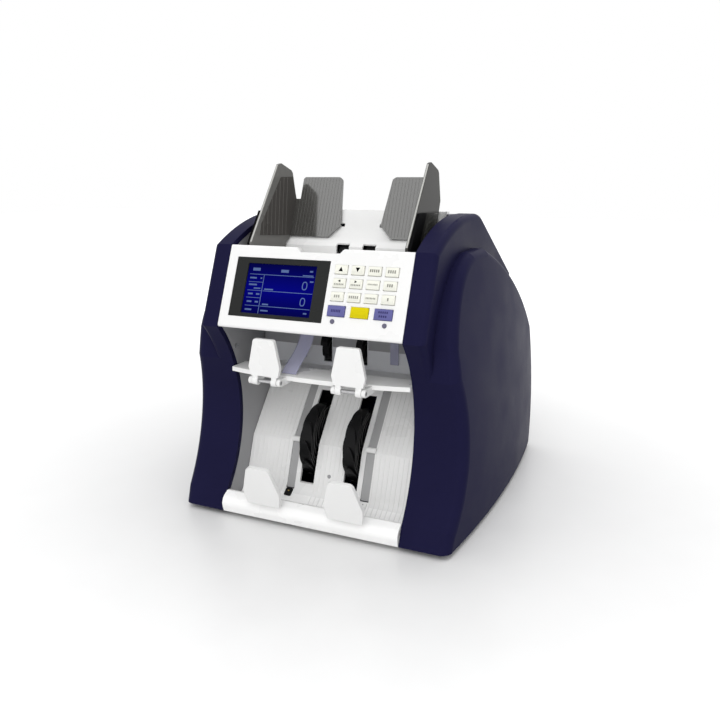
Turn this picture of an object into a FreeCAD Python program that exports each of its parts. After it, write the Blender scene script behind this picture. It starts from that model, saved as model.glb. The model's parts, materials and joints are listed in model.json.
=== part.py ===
import FreeCAD
import Part
import math
import os
import re
import Sketcher

# Every size in millimetres or degrees. Depths (y) and heights (z) are counted
# from the bottom edge of the front lip; foot_height and reference_y move that
# edge to the shared frame, where z = 0 is the table and y = 0 the middle.
sizes = {
    # whole machine
    "inner_width": 216.0, "side_gap": 0.4, "foot_height": 6.0, "reference_y": 179.17,
    "body_depth": 377.0, "body_top": 334.0, "cover_slab": 23.0, "cover_wall": 6.0,
    # side cover outline
    "lip_top_y": 9.4, "lip_top_z": 21.9, "waist_y": 43.3, "waist_z": 122.0,
    "panel_low_y": 3.8, "panel_low_z": 215.9, "panel_slope": 93.7, "panel_tilt": 22.4,
    "top_start_y": 164.0, "top_end_y": 201.0, "back_top_z": 246.0, "brow_bow": 8.0,
    "ridge_round": 55.0, "cover_edge_round": 7.0,
    # raised dome on each cover
    "dome_reach": 70.0, "dome_radius": 1615.0, "dome_peak_y": 225.0, "dome_rise_radius": 1115.0,
    "dome_peak_z": 40.0, "dome_back_z": 173.0,
    "dome_step_z": 172.0, "dome_neck_y": 32.0, "dome_neck_z": 206.0, "dome_crown_y": 122.0,
    "dome_crown_z": 296.0, "dome_crown_end_y": 172.0, "dome_edge_round": 11.0, "dome_shoulder": 18.4,
    "dome_fall": 14.3,
    # side frames
    "frame_wall": 2.6, "frame_gap": 0.2, "frame_inset": 0.6,
    # control panel
    "panel_wall": 3.0, "panel_return": 75.0, "panel_top_return": 12.0, "panel_top_drop": 1.5,
    "panel_edge_round": 2.4, "dip_centre_x": 2.0, "dip_width": 46.0, "dip_flare": 8.0,
    "dip_depth": 5.3,
    # display
    "bezel_centre_x": -40.0, "bezel_width": 113.0, "bezel_height": 66.0, "bezel_low": 14.2,
    "bezel_wall": 2.6, "bezel_rise": 0.4, "bezel_fit": 0.2, "lcd_width": 83.4, "lcd_height": 55.4,
    "lcd_low": 18.4, "lcd_border": 4.0, "lcd_wall": 3.6,
    # keys and lamps
    "key_width": 14.2, "key_height": 9.6, "key_pitch_x": 18.75, "key_pitch_s": 14.35,
    "key_bezel_gap": 6.7, "key_first_s": 71.8, "key_gap": 0.4, "key_rise": 1.8, "key_depth": 5.0,
    "key_round": 1.1, "big_key_width": 19.6, "big_key_height": 11.2, "big_key_pitch": 26.0,
    "big_key_bezel_gap": 5.4, "big_key_s": 27.9, "lamp_radius": 2.4, "lamp_fit": 0.15,
    "lamp_s": 16.8, "lamp_bezel_gap": 12.4, "lamp_pitch": 57.5, "lamp_rise": 0.6,
    "board_depth": 9.4, "board_wall": 1.6, "board_width": 76.0, "board_height": 66.0,
    "board_bezel_gap": 1.5, "board_low": 13.0,
    # hopper
    "hopper_side_gap": 4.0, "hopper_wall": 3.0, "hopper_front_y": 56.0, "hopper_floor_z": 265.0,
    "hopper_back_y": 134.0, "hopper_ledge_z": 295.5, "hopper_fold_y": 147.9, "hopper_fold_z": 305.0,
    "hopper_top_z": 337.0, "hopper_rim_z": 296.0, "window_x": 16.8, "window_width": 16.4,
    "window_low_z": 268.0, "window_over": 3.0, "slot_inner_reach": 70.1, "slot_outer_reach": 5.4,
    "slot_low": 16.5, "slot_height": 4.0, "cheek_front_y": 72.0, "cheek_front_z": 302.0, "cheek_top_y": 98.0,
    # note guides
    "guide_cheek_gap": 3.7, "guide_wall": 3.0, "guide_low_y": 142.2, "guide_low_z": 304.0,
    "guide_tilt": 21.8, "guide_nose_y": 118.0, "guide_nose_z": 389.5, "guide_peak_y": 125.0,
    "guide_peak_z": 391.0,
    "guide_tail_y": 149.5, "guide_tail_z": 383.0, "guide_tail_cut": 3.0, "guide_front_y": 53.5,
    "guide_front_z": 304.0, "guide_foot_gap": 3.0, "guide_round": 3.5, "guide_vertex_s": 48.5,
    "plate_wall": 3.0, "plate_foot": 1.5, "plate_height": 76.5, "plate_low_reach": 51.8,
    "plate_reach": 67.0, "plate_top_reach": 60.0, "plate_chamfer": 16.7, "plate_inset": 7.3,
    "plate_round": 6.0,
    "bracket_wall": 3.2, "bracket_inset": 1.0, "bracket_width": 23.0, "bracket_low_z": 300.5,
    "bracket_top_z": 338.0,
    # guide racks and pinion
    "carrier_inset": 22.6, "carrier_width": 16.0, "carrier_fit": 0.5, "carrier_gap": 1.2,
    "carrier_wall": 3.0, "gear_module": 1.5, "pinion_teeth": 12.0, "rack_reach": 10.0,
    "rack_back": 5.0, "gear_backlash": 0.4, "stud_radius": 3.0, "running_fit": 0.06,
    # reject pocket
    "shelf_z": 160.0, "shelf_wall": 5.0, "shelf_front_y": 17.0, "shelf_bow": 455.0,
    "shelf_lip_y": 58.0, "shelf_floor_wall": 3.0, "shelf_back_y": 104.0, "shelf_back_z": 154.5,
    "reject_wall_y": 104.5, "reject_wall": 3.0, "reject_wall_low_z": 151.0,
    "reject_wall_top_z": 228.0, "reject_wheel_x": 22.5, "reject_window_width": 11.0,
    "film_left_x": -41.0, "film_width": 18.0, "film_wall": 0.7, "film_gap": 0.3, "film_top_y": 74.0,
    "film_bend_y": 51.0, "film_bend_z": 182.0, "film_low_y": 26.0,
    # stoppers
    "stopper_x": 49.6, "stopper_wall": 5.0, "stopper_top_width": 25.0, "stopper_width": 38.4,
    "stopper_low_width": 33.0, "stopper_top_z": 207.0, "stopper_mid_z": 176.0,
    "stopper_low_z": 166.2, "stopper_y": 3.0, "stopper_round": 3.0, "pivot_y": 6.0, "pivot_z": 160.0,
    "knuckle_radius": 4.6, "knuckle_x": 8.4, "knuckle_width": 6.4, "knuckle_gap": 0.5,
    "arm_width": 4.0, "arm_radius": 4.1, "arm_overlap": 12.0, "pin_radius": 2.0, "eye_wall": 1.6,
    "lower_stopper_lean": 14.0, "lower_stopper_y": -5.0, "lower_stopper_z": 21.0,
    "lower_stopper_height": 48.5, "lower_stopper_mid": 17.0, "lower_stopper_width": 46.0,
    "lower_stopper_low_width": 40.0, "lower_stopper_top_width": 27.0, "lower_pivot_y": 1.5,
    "lower_pivot_z": 25.0, "lower_knuckle_width": 16.0, "lug_width": 5.0, "lower_stopper_round": 6.0,
    # stacker pocket
    "chute_wall": 3.0, "chute_low_y": 51.5, "chute_low_z": 20.0, "chute_fold_y": 70.2,
    "chute_fold_z": 70.5, "chute_top_y": 137.2, "chute_top_z": 150.0, "groove_x": 47.5,
    "groove_width": 10.4, "groove_depth": 1.5, "wheel_x": 27.5, "wheel_slot": 18.0,
    "wheel_slot_low_z": 26.0, "wheel_slot_top_z": 123.0, "lip_wall": 3.0, "lip_bulge": 3.0,
    "lip_floor_z": 17.9, "lip_flange": 28.0, "lip_crest": 4.0, "trough_z": 6.5, "trough_back_y": 35.0,
    "sensor_width": 8.4, "sensor_height": 1.1, "sensor_length": 9.5, "sensor_gap": 0.1,
    # wheels, shafts and drive
    "wheel_radius": 45.0, "wheel_width": 15.4, "wheel_hub": 15.0, "wheel_fins": 12.0,
    "fin_wall": 3.0, "fin_sweep": 70.0, "fin_bend": 0.43, "wheel_y": 94.0, "wheel_z": 66.7,
    "shaft_radius": 4.0, "shaft_overhang": 1.5,
    "reject_wheel_radius": 25.0, "reject_wheel_width": 8.0, "reject_wheel_hub": 9.0,
    "reject_fins": 10.0, "reject_fin_sweep": 60.0, "reject_y": 118.0, "reject_z": 187.0,
    "feed_roller_radius": 18.4, "feed_roller_width": 12.0, "feed_y": 153.0, "feed_z": 280.0,
    "pulley_radius": 12.0, "pulley_rim": 1.8, "pulley_width": 8.0, "pulley_gap": 2.2,
    "flange_wall": 1.2, "belt_wall": 1.5, "belt_fit": 0.35, "motor_y": 215.0, "motor_z": 75.0,
    "motor_radius": 25.0, "motor_length": 52.0, "motor_gap": 0.6, "motor_bore_depth": 18.0,
    # base, rear and electronics
    "base_back_gap": 11.0, "base_wall": 3.0, "foot_radius": 10.0, "foot_out": 20.0, "foot_front": 44.0,
    "foot_back": 41.0, "rear_gap": 1.5, "rear_wall": 3.0, "rear_top_y": 168.0,
    "rear_low_z": 7.0, "inlet_x": 54.0, "inlet_z": 40.0, "inlet_width": 28.0,
    "inlet_height": 24.0, "inlet_depth": 20.0, "inlet_fit": 0.2, "inlet_wall": 3.0,
    "inlet_rise": 0.8, "inlet_pin": 1.2, "inlet_pin_pitch": 6.5, "inlet_pin_step": 2.5,
    "rocker_x": 18.0, "rocker_width": 13.0, "rocker_height": 20.0,
    "rocker_pin": 1.5, "rocker_pin_reach": 0.4, "rocker_depth": 9.0, "rocker_gap": 0.7,
    "rocker_rise": 2.0, "main_board_width": 140.0,
    "main_board_depth": 110.0, "main_board_back": 22.0, "main_board_z": 20.0,
    "screw_radius": 2.6, "screw_head": 1.4,
    "screw_y": 40.0, "screw_z": 187.0,
}

doc = FreeCAD.newDocument("counter")
sheet = doc.addObject("Spreadsheet::Sheet", "Sizes")
for row, (alias, value) in enumerate(sizes.items(), 1):
    sheet.set("A%d" % row, alias)
    sheet.set("B%d" % row, str(value))
    sheet.setAlias("B%d" % row, alias)
doc.recompute()

nodes = []


def size(alias):
    return float(getattr(sheet, alias))


def bind(text):
    def cell(match):
        word = match.group(0)
        return "Sizes." + word if word in sizes else word
    return re.sub(r"[a-z_]+", cell, str(text))


# Placements
def at(x, y, z, turn="0", axis="1; 0; 0"):
    return ("placement(vector(%s; (%s) - reference_y; (%s) + foot_height); "
            "rotation(vector(%s); %s))" % (x, y, z, axis, turn))


def from_side(x):
    return at(x, "0", "0", "120", "1; 1; 1")


def along_x(x, y, z):
    return at(x, y, z, "90", "0; 1; 0")


def on_slope(x, along, out, low_y, low_z, tilt):
    y = "%s + (%s) * sin(%s) - (%s) * cos(%s)" % (low_y, along, tilt, out, tilt)
    z = "%s + (%s) * cos(%s) + (%s) * sin(%s)" % (low_z, along, tilt, out, tilt)
    return at(x, y, z, "90 - (%s)" % tilt)


def on_panel(x, along, out):
    return on_slope(x, along, out, "panel_low_y", "panel_low_z", "panel_tilt")


def on_plate(x, along, out):
    return on_slope(x, along, out, "guide_low_y", "guide_low_z", "guide_tilt")


# Building blocks
def keep(label, item):
    item.Label = label
    nodes.append(item)
    return item


def box(name, lengths, place):
    item = doc.addObject("Part::Box", name)
    for side, text in zip(("Length", "Width", "Height"), lengths):
        item.setExpression(side, bind(text))
    item.setExpression("Placement", bind(place))
    return item


def cylinder(name, radius, height, place):
    item = doc.addObject("Part::Cylinder", name)
    item.setExpression("Radius", bind(radius))
    item.setExpression("Height", bind(height))
    item.setExpression("Placement", bind(place))
    return item


def cut(name, base, tools):
    item = doc.addObject("Part::Cut", name)
    item.Base = base
    item.Tool = tools[0] if len(tools) == 1 else fuse(name + "_tools", tools)
    return item


def fuse(name, shapes):
    item = doc.addObject("Part::MultiFuse", name)
    item.Shapes = shapes
    item.Refine = True
    return item


def group(name, shapes):
    item = doc.addObject("Part::Compound", name)
    item.Links = shapes
    return item


def rounded(name, base, alias, wanted):
    doc.recompute()
    item = doc.addObject("Part::Fillet", name)
    item.Base = base
    radius = size(alias)
    edges = enumerate(base.Shape.Edges, 1)
    item.Edges = [(number, radius, radius) for number, edge in edges if wanted(edge)]
    return item


# A straight-sided outline, each corner held by two expressions, padded to a solid
def prism(name, corners, length, place, rounds=None):
    body = doc.addObject("PartDesign::Body", name)
    sketch = body.newObject("Sketcher::SketchObject", name + "_outline")
    sketch.AttachmentSupport = [(body.Origin.OriginFeatures[3], "")]
    sketch.MapMode = "FlatFace"
    count = len(corners)
    start = []
    for number in range(count):
        angle = 2 * math.pi * number / count
        start.append(FreeCAD.Vector(100 * math.cos(angle), 100 * math.sin(angle), 0))
    for number in range(count):
        sketch.addGeometry(Part.LineSegment(start[number], start[(number + 1) % count]))
    for number in range(count):
        sketch.addConstraint(Sketcher.Constraint("Coincident", number, 2, (number + 1) % count, 1))
    for number, corner in enumerate(corners):
        guess = (start[number].x, start[number].y)
        for kind, text, first in zip(("DistanceX", "DistanceY"), corner, guess):
            index = sketch.addConstraint(Sketcher.Constraint(kind, -1, 1, number, 1, first))
            label = "%s%d" % (kind[-1].lower() + "_", number)
            sketch.renameConstraint(index, label)
            sketch.setExpression("Constraints." + label, bind(text))
    pad = body.newObject("PartDesign::Pad", name + "_pad")
    pad.Profile = sketch
    pad.setExpression("Length", bind(length))
    sketch.Visibility = False
    if rounds:
        doc.recompute()
        tip = pad
        for alias in sorted(set(rounds.values())):
            spots = [sketch.Geometry[number].StartPoint for number in rounds if rounds[number] == alias]
            names = corner_edges(tip.Shape, spots)
            fillet = body.newObject("PartDesign::Fillet", name + "_" + alias)
            fillet.Base = (tip, names)
            fillet.setExpression("Radius", bind(alias))
            doc.recompute()
            tip = fillet
    body.setExpression("Placement", bind(place))
    return body


def corner_edges(shape, spots):
    names = []
    for number, edge in enumerate(shape.Edges, 1):
        first, last = edge.Vertexes[0].Point, edge.Vertexes[-1].Point
        upright = abs(first.x - last.x) + abs(first.y - last.y) < 1e-6 and abs(first.z - last.z) > 1e-6
        if upright and any(math.hypot(first.x - spot.x, first.y - spot.y) < 1e-4 for spot in spots):
            names.append("Edge%d" % number)
    return names


def solid(name, shape):
    item = doc.addObject("Part::Feature", name)
    item.Shape = shape.removeSplitter()
    return item


half = "(inner_width / 2 - side_gap)"
span = "(inner_width - 2 * side_gap)"


# Side covers: a slab with a raised dome, both hollow and open towards the middle
def point(y, z, x=0.0):
    return FreeCAD.Vector(x, y - size("reference_y"), z + size("foot_height"))


def line(first, last):
    return Part.makeLine(first, last)


def arc(first, middle, last):
    return Part.Arc(first, middle, last).toShape()


def bulged(first, last, bow):
    chord = last - first
    outward = FreeCAD.Vector(0, -chord.z, chord.y).normalize()
    return arc(first, (first + last) * 0.5 + outward * bow, last)


def waist_circle():
    top = point(size("panel_low_y"), size("panel_low_z"))
    middle = point(size("waist_y"), size("waist_z"))
    low = point(size("lip_top_y"), size("lip_top_z"))
    return arc(low, middle, top).Curve


def waist_point(z):
    circle = waist_circle()
    rise = z + size("foot_height") - circle.Center.z
    reach = math.sqrt(circle.Radius ** 2 - rise ** 2)
    return FreeCAD.Vector(0, circle.Center.y + reach, z + size("foot_height"))


def slab_wire():
    tilt = math.radians(size("panel_tilt"))
    slope = size("panel_slope")
    heel, lip = point(0, 0), point(size("lip_top_y"), size("lip_top_z"))
    chin = point(size("panel_low_y"), size("panel_low_z"))
    brow = chin + FreeCAD.Vector(0, slope * math.sin(tilt), slope * math.cos(tilt))
    crest = point(size("top_start_y"), size("body_top"))
    ridge = point(size("top_end_y"), size("body_top"))
    back = point(size("body_depth"), size("back_top_z"))
    corner = point(size("body_depth"), 0)
    waist = waist_point(size("waist_z"))
    edges = [line(heel, lip), arc(lip, waist, chin), line(chin, brow)]
    edges.append(bulged(brow, crest, size("brow_bow")))
    edges += [line(crest, ridge), line(ridge, back), line(back, corner), line(corner, heel)]
    return Part.Wire(edges)


def dome_wire():
    heel, lip = point(0, 0), point(size("lip_top_y"), size("lip_top_z"))
    waist = waist_point(size("waist_z"))
    step = waist_point(size("dome_step_z"))
    neck = point(size("dome_neck_y"), size("dome_neck_z"))
    crown = point(size("dome_crown_y"), size("dome_crown_z"))
    crown_end = point(size("dome_crown_end_y"), size("dome_crown_z"))
    back = point(size("body_depth"), size("dome_back_z"))
    corner = point(size("body_depth"), 0)
    edges = [line(heel, lip), arc(lip, waist, step), line(step, neck)]
    edges += [bulged(neck, crown, size("dome_shoulder")), line(crown, crown_end)]
    edges += [bulged(crown_end, back, size("dome_fall")), line(back, corner), line(corner, heel)]
    return Part.Wire(edges)


def barrel(inset):
    middle = point(size("dome_peak_y"), size("dome_peak_z"))
    peak = size("inner_width") / 2 + size("dome_reach")
    rise = size("dome_rise_radius") - inset
    hub = FreeCAD.Vector(peak - size("dome_radius"), middle.y, 0)
    low, high = -size("body_top") / 2, size("body_top") * 1.5

    def rim(z):
        reach = math.sqrt(rise ** 2 - (z - middle.z) ** 2)
        return FreeCAD.Vector(peak - size("dome_rise_radius") + reach, middle.y, z)

    below, above = hub + FreeCAD.Vector(0, 0, low), hub + FreeCAD.Vector(0, 0, high)
    profile = Part.Face(Part.Wire([
        line(below, rim(low)), arc(rim(low), rim(middle.z), rim(high)), line(rim(high), above),
        line(above, below)]))
    upright = FreeCAD.Vector(0, 0, 1)
    profile.rotate(hub, upright, -15)
    return profile.revolve(hub, upright, 30)


def thick(wire, start, width):
    shape = Part.Face(wire).extrude(FreeCAD.Vector(width, 0, 0))
    shape.translate(FreeCAD.Vector(start, 0, 0))
    return shape


def edges_on(shape, wanted):
    return [edge for edge in shape.Edges if wanted(edge)]


def cover_shape():
    inside = size("inner_width") / 2
    slab_x = inside + size("cover_slab")
    wall = size("cover_wall")
    slab = thick(slab_wire(), inside, size("cover_slab"))
    ridge = point(size("top_end_y"), size("body_top"))
    slab = slab.makeFillet(size("ridge_round"), edges_on(slab, lambda edge: all(
        abs(vertex.Y - ridge.y) + abs(vertex.Z - ridge.z) < 1e-6 for vertex in edge.Vertexes)))
    floor_z = size("foot_height")
    slab = slab.makeFillet(size("cover_edge_round"), edges_on(slab, lambda edge: (
        edge.BoundBox.XMin > slab_x - 1e-3 and edge.BoundBox.ZMax > floor_z + 1)))
    dome = thick(dome_wire(), inside, size("dome_reach") + 20).common(barrel(0))
    dome = dome.makeFillet(size("dome_edge_round"), edges_on(dome, lambda edge: (
        edge.BoundBox.XMin > slab_x and edge.BoundBox.ZMax > floor_z + 1)))
    hollow = thick(slab_wire().makeOffset2D(-wall), inside - 5, size("cover_slab") - wall + 5)
    pocket = thick(dome_wire().makeOffset2D(-wall), inside - 5, size("dome_reach") + 25)
    pocket = pocket.common(barrel(wall))
    return slab.fuse(dome).removeSplitter().cut(hollow.fuse(pocket))


mirror = (FreeCAD.Vector(0, 0, 0), FreeCAD.Vector(1, 0, 0))
cover = cover_shape()
keep("right_side_cover", solid("right_side_cover", cover))
keep("left_side_cover", solid("left_side_cover", cover.mirror(*mirror)))


# Side frames: grey plates that close the covers and carry the shafts
def frame_shape():
    inset = size("cover_wall") + size("frame_inset")
    start = size("inner_width") / 2 + size("frame_gap")
    plate = thick(slab_wire().makeOffset2D(-inset), start, size("frame_wall"))
    for name in ("wheel", "reject", "feed"):
        hole = point(size(name + "_y"), size(name + "_z"))
        plate = plate.cut(Part.makeCylinder(
            size("shaft_radius") + size("running_fit"), size("inner_width"), hole, FreeCAD.Vector(1, 0, 0)))
    return plate


frame = frame_shape()
motor_centre = point(size("motor_y"), size("motor_z"), -size("inner_width"))
motor_hole = Part.makeCylinder(
    size("motor_radius") / 2, size("inner_width"), motor_centre, FreeCAD.Vector(1, 0, 0))
keep("side_frames", group("side_frames", [
    solid("right_frame", frame), solid("left_frame", frame.mirror(*mirror).cut(motor_hole))]))

# Control panel: a bent white shell with openings for display, keys and lamps
top_y = "panel_low_y + panel_slope * sin(panel_tilt)"
top_z = "panel_low_z + panel_slope * cos(panel_tilt)"
under_z = "(%s - panel_top_drop - panel_wall)" % top_z
under_y = "panel_low_y + panel_wall / cos(panel_tilt) + (%s - panel_low_z) * tan(panel_tilt)" % under_z
shell = prism("panel_shell", [
    ("panel_low_y", "panel_low_z"), (top_y, top_z),
    (top_y + " + panel_top_return", top_z + " - panel_top_drop"),
    (top_y + " + panel_top_return", under_z), (under_y, under_z),
    ("panel_low_y + panel_wall / cos(panel_tilt) + panel_wall * tan(panel_tilt)",
     "panel_low_z + panel_wall"),
    ("panel_low_y + panel_return", "panel_low_z + panel_wall"),
    ("panel_low_y + panel_return", "panel_low_z"),
], span, from_side("-" + half), {0: "panel_edge_round", 1: "panel_edge_round"})

dip = doc.addObject("Part::Wedge", "panel_dip")
for side, text in {"Xmin": "-dip_width / 2", "Xmax": "dip_width / 2", "Ymin": "0", "Ymax": "dip_depth + 4",
                   "X2min": "-dip_width / 2 - dip_flare", "X2max": "dip_width / 2 + dip_flare",
                   "Zmin": "0", "Z2min": "0", "Zmax": "40", "Z2max": "40"}.items():
    dip.setExpression(side, bind(text))
dip.setExpression("Placement", bind(on_panel("dip_centre_x", "panel_slope - dip_depth", "-32")))
bezel_opening = box("bezel_opening", (
    "bezel_width + 2 * bezel_fit", "bezel_height + 2 * bezel_fit", "20"), on_panel(
    "bezel_centre_x - bezel_width / 2 - bezel_fit", "bezel_low - bezel_fit", "-10"))
openings = [dip, bezel_opening]

bezel_right = "(bezel_centre_x + bezel_width / 2)"
keys = []
for row in range(3):
    for column in range(4):
        x = "(%s + key_bezel_gap + %d * key_pitch_x)" % (bezel_right, column)
        along = "(key_first_s - %d * key_pitch_s - key_height / 2)" % row
        keys.append(("key_row%d_column%d" % (row + 1, column + 1), x, along, "key_width", "key_height"))
for column, name in enumerate(("left_function_key", "clear_key", "right_function_key")):
    x = "(%s + big_key_bezel_gap + %d * big_key_pitch)" % (bezel_right, column)
    keys.append((name, x, "(big_key_s - big_key_height / 2)", "big_key_width", "big_key_height"))


def key_edge(edge):
    first, last = edge.Vertexes[0].Point, edge.Vertexes[-1].Point
    tilt = math.radians(size("panel_tilt"))
    out = FreeCAD.Vector(0, -math.cos(tilt), math.sin(tilt))
    foot = point(size("panel_low_y"), size("panel_low_z"))
    return max((first - foot).dot(out), (last - foot).dot(out)) > 0


for name, x, along, width, height in keys:
    room = (width + " + 2 * key_gap", height + " + 2 * key_gap", "20")
    openings.append(box(name + "_opening", room, on_panel(x + " - key_gap", along + " - key_gap", "-10")))
    cap = box(name + "_block", (width, height, "key_rise + key_depth"), on_panel(x, along, "-key_depth"))
    keep(name, rounded(name, cap, "key_round", key_edge))

lamps = []
for number in range(2):
    x = "%s + lamp_bezel_gap + %d * lamp_pitch" % (bezel_right, number)
    openings.append(cylinder("lamp_opening%d" % number, "lamp_radius + lamp_fit", "20", on_panel(
        x, "lamp_s", "-10")))
    lamps.append(cylinder("lamp%d" % number, "lamp_radius", "key_depth + lamp_rise", on_panel(
        x, "lamp_s", "-key_depth")))
keep("status_lamps", group("status_lamps", lamps))
keep("control_panel", cut("control_panel", shell, openings))

frame_block = box("bezel_block", ("bezel_width", "bezel_height", "bezel_wall"), on_panel(
    "bezel_centre_x - bezel_width / 2", "bezel_low", "bezel_rise - bezel_wall"))
view = box("bezel_view", ("lcd_width", "lcd_height", "20"), on_panel(
    "bezel_centre_x - lcd_width / 2", "lcd_low", "-10"))
keep("display_bezel", cut("display_bezel", frame_block, [view]))
keep("lcd_panel", box("lcd_panel", (
    "lcd_width + 2 * lcd_border", "lcd_height + 2 * lcd_border", "lcd_wall"), on_panel(
    "bezel_centre_x - lcd_width / 2 - lcd_border", "lcd_low - lcd_border",
    "bezel_rise - bezel_wall - lcd_wall")))
keep("key_board", box("key_board", ("board_width", "board_height", "board_wall"), on_panel(
    bezel_right + " + board_bezel_gap", "board_low", "-board_depth")))

# Hopper tray: a folded white trough with roller windows and two guide slots
hopper_half = "(inner_width / 2 - hopper_side_gap)"
guide_x = "(%s - hopper_wall - guide_cheek_gap - bracket_wall - guide_wall / 2)" % hopper_half
lean = "(hopper_top_z - hopper_fold_z) * tan(guide_tilt)"
trough = prism("hopper_trough", [
    ("hopper_front_y", "hopper_rim_z"), ("hopper_front_y", "hopper_floor_z"),
    ("hopper_back_y", "hopper_floor_z"), ("hopper_back_y", "hopper_ledge_z"),
    ("hopper_fold_y", "hopper_fold_z"), ("hopper_fold_y + " + lean, "hopper_top_z"),
    ("hopper_fold_y + hopper_wall / cos(guide_tilt) + " + lean, "hopper_top_z"),
    ("hopper_fold_y + hopper_wall / cos(guide_tilt)", "hopper_fold_z"),
    ("hopper_back_y + hopper_wall", "hopper_ledge_z - 1"),
    ("hopper_back_y + hopper_wall", "hopper_floor_z - hopper_wall"),
    ("hopper_front_y - hopper_wall", "hopper_floor_z - hopper_wall"),
    ("hopper_front_y - hopper_wall", "hopper_rim_z"),
], "2 * " + hopper_half, from_side("-" + hopper_half))
cheek_corners = [
    ("cheek_front_y", "hopper_floor_z - 1"), ("cheek_front_y", "cheek_front_z"),
    ("cheek_top_y", "hopper_top_z"),
    ("hopper_fold_y + 1 + " + lean, "hopper_top_z"), ("hopper_fold_y + 1", "hopper_fold_z"),
    ("hopper_back_y + 1", "hopper_ledge_z"), ("hopper_back_y + 1", "hopper_floor_z - 1"),
]
hopper_pieces = [trough]
hopper_pieces.append(prism("hopper_left_cheek", cheek_corners, "hopper_wall", from_side("-" + hopper_half)))
hopper_pieces.append(prism("hopper_right_cheek", cheek_corners, "hopper_wall", from_side(
    hopper_half + " - hopper_wall")))
wall_lean = "(hopper_fold_z - guide_low_z) * tan(guide_tilt)"
wall_out = "((guide_low_y - hopper_fold_y + %s) * cos(guide_tilt))" % wall_lean
slot_mid = "(slot_low + slot_height / 2)"
stud_length = "(hopper_wall + carrier_gap + carrier_wall + 1)"
hopper_pieces.append(cylinder("pinion_stud", "stud_radius", stud_length, on_plate(
    "0", slot_mid, wall_out + " - " + stud_length)))
hopper_cuts = []
for side, sign in (("left", "-"), ("right", "")):
    hopper_cuts.append(box("window_" + side, (
        "window_width", "hopper_wall + 4", "hopper_ledge_z + window_over - window_low_z"), at(
        sign + "window_x - window_width / 2", "hopper_back_y - 1", "window_low_z")))
    start = "-%s - slot_outer_reach" if sign else "%s - slot_inner_reach"
    hopper_cuts.append(box("slot_" + side, (
        "slot_outer_reach + slot_inner_reach", "slot_height", "hopper_wall + 4"), on_plate(
        start % guide_x, "slot_low", wall_out + " - hopper_wall - 2")))
keep("hopper_tray", cut("hopper_tray", fuse("hopper_body", hopper_pieces), hopper_cuts))

# Note guides: side plate, ribbed back plate, black bracket and rack on each side
vertex_y = "guide_low_y + guide_vertex_s * sin(guide_tilt)"
vertex_z = "guide_low_z + guide_vertex_s * cos(guide_tilt)"
guide_corners = [
    ("hopper_front_y + guide_foot_gap", "hopper_floor_z + guide_foot_gap"),
    ("hopper_front_y + guide_foot_gap", "hopper_rim_z + guide_foot_gap"),
    ("guide_front_y", "hopper_rim_z + guide_foot_gap"), ("guide_front_y", "guide_front_z"),
    ("guide_nose_y", "guide_nose_z"), ("guide_peak_y", "guide_peak_z"),
    ("guide_tail_y", "guide_tail_z"), ("guide_tail_y + guide_tail_cut", "guide_tail_z - guide_tail_cut"),
    (vertex_y, vertex_z), ("guide_low_y", "guide_low_z"),
    ("hopper_back_y - guide_foot_gap", "hopper_ledge_z + guide_foot_gap / 2"),
    ("hopper_back_y - guide_foot_gap", "hopper_floor_z + guide_foot_gap"),
]
front_lean = "(guide_nose_y - guide_front_y) / (guide_nose_z - guide_front_z)"
bracket_y = "(guide_front_y + bracket_inset)"
bracket_top_y = bracket_y + " + (bracket_top_z - guide_front_z) * " + front_lean
bracket_corners = [
    (bracket_y, "bracket_low_z"), (bracket_y, "guide_front_z"), (bracket_top_y, "bracket_top_z"),
    (bracket_top_y + " + bracket_width", "bracket_top_z"),
    (bracket_y + " + bracket_width", "bracket_low_z"),
]
pitch_radius = "(gear_module * pinion_teeth / 2)"
plate_back = "(%s - hopper_wall - carrier_gap)" % wall_out


def carrier_end():
    cheek = size("inner_width") / 2 - size("hopper_side_gap") - size("hopper_wall")
    plane = cheek - size("guide_cheek_gap") - size("bracket_wall") - size("guide_wall") / 2
    return plane - size("carrier_inset") + size("carrier_width") / 2


# Rack teeth are straight flanks at 20 degrees, cut along the lower edge of a bar
def rack_shape(first_x, last_x):
    module, play = size("gear_module"), size("gear_backlash")
    pitch = math.pi * module
    radius = module * size("pinion_teeth") / 2
    slope = math.tan(math.radians(20))
    deep, tall = 1.25 * module, 0.9 * module
    line_s = radius
    bar = [(last_x, line_s + deep), (last_x, line_s + deep + size("rack_back")),
           (first_x, line_s + deep + size("rack_back")), (first_x, line_s + deep)]
    outline = []
    number = math.ceil((first_x + pitch) / pitch)
    while (number + 0.5) * pitch < last_x - pitch / 2:
        middle = (number + 0.5) * pitch
        root = pitch / 4 - play / 4 + deep * slope
        tip = pitch / 4 - play / 4 - tall * slope
        outline += [(middle - root, line_s + deep), (middle - tip, line_s - tall),
                    (middle + tip, line_s - tall), (middle + root, line_s + deep)]
        number += 1
    corners = [FreeCAD.Vector(x, s, 0) for x, s in outline + bar]
    wire = Part.makePolygon(corners + corners[:1])
    return Part.Face(wire).extrude(FreeCAD.Vector(0, 0, size("carrier_wall")))


def polar(reach, angle):
    return FreeCAD.Vector(reach * math.cos(angle), reach * math.sin(angle), 0)


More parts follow.
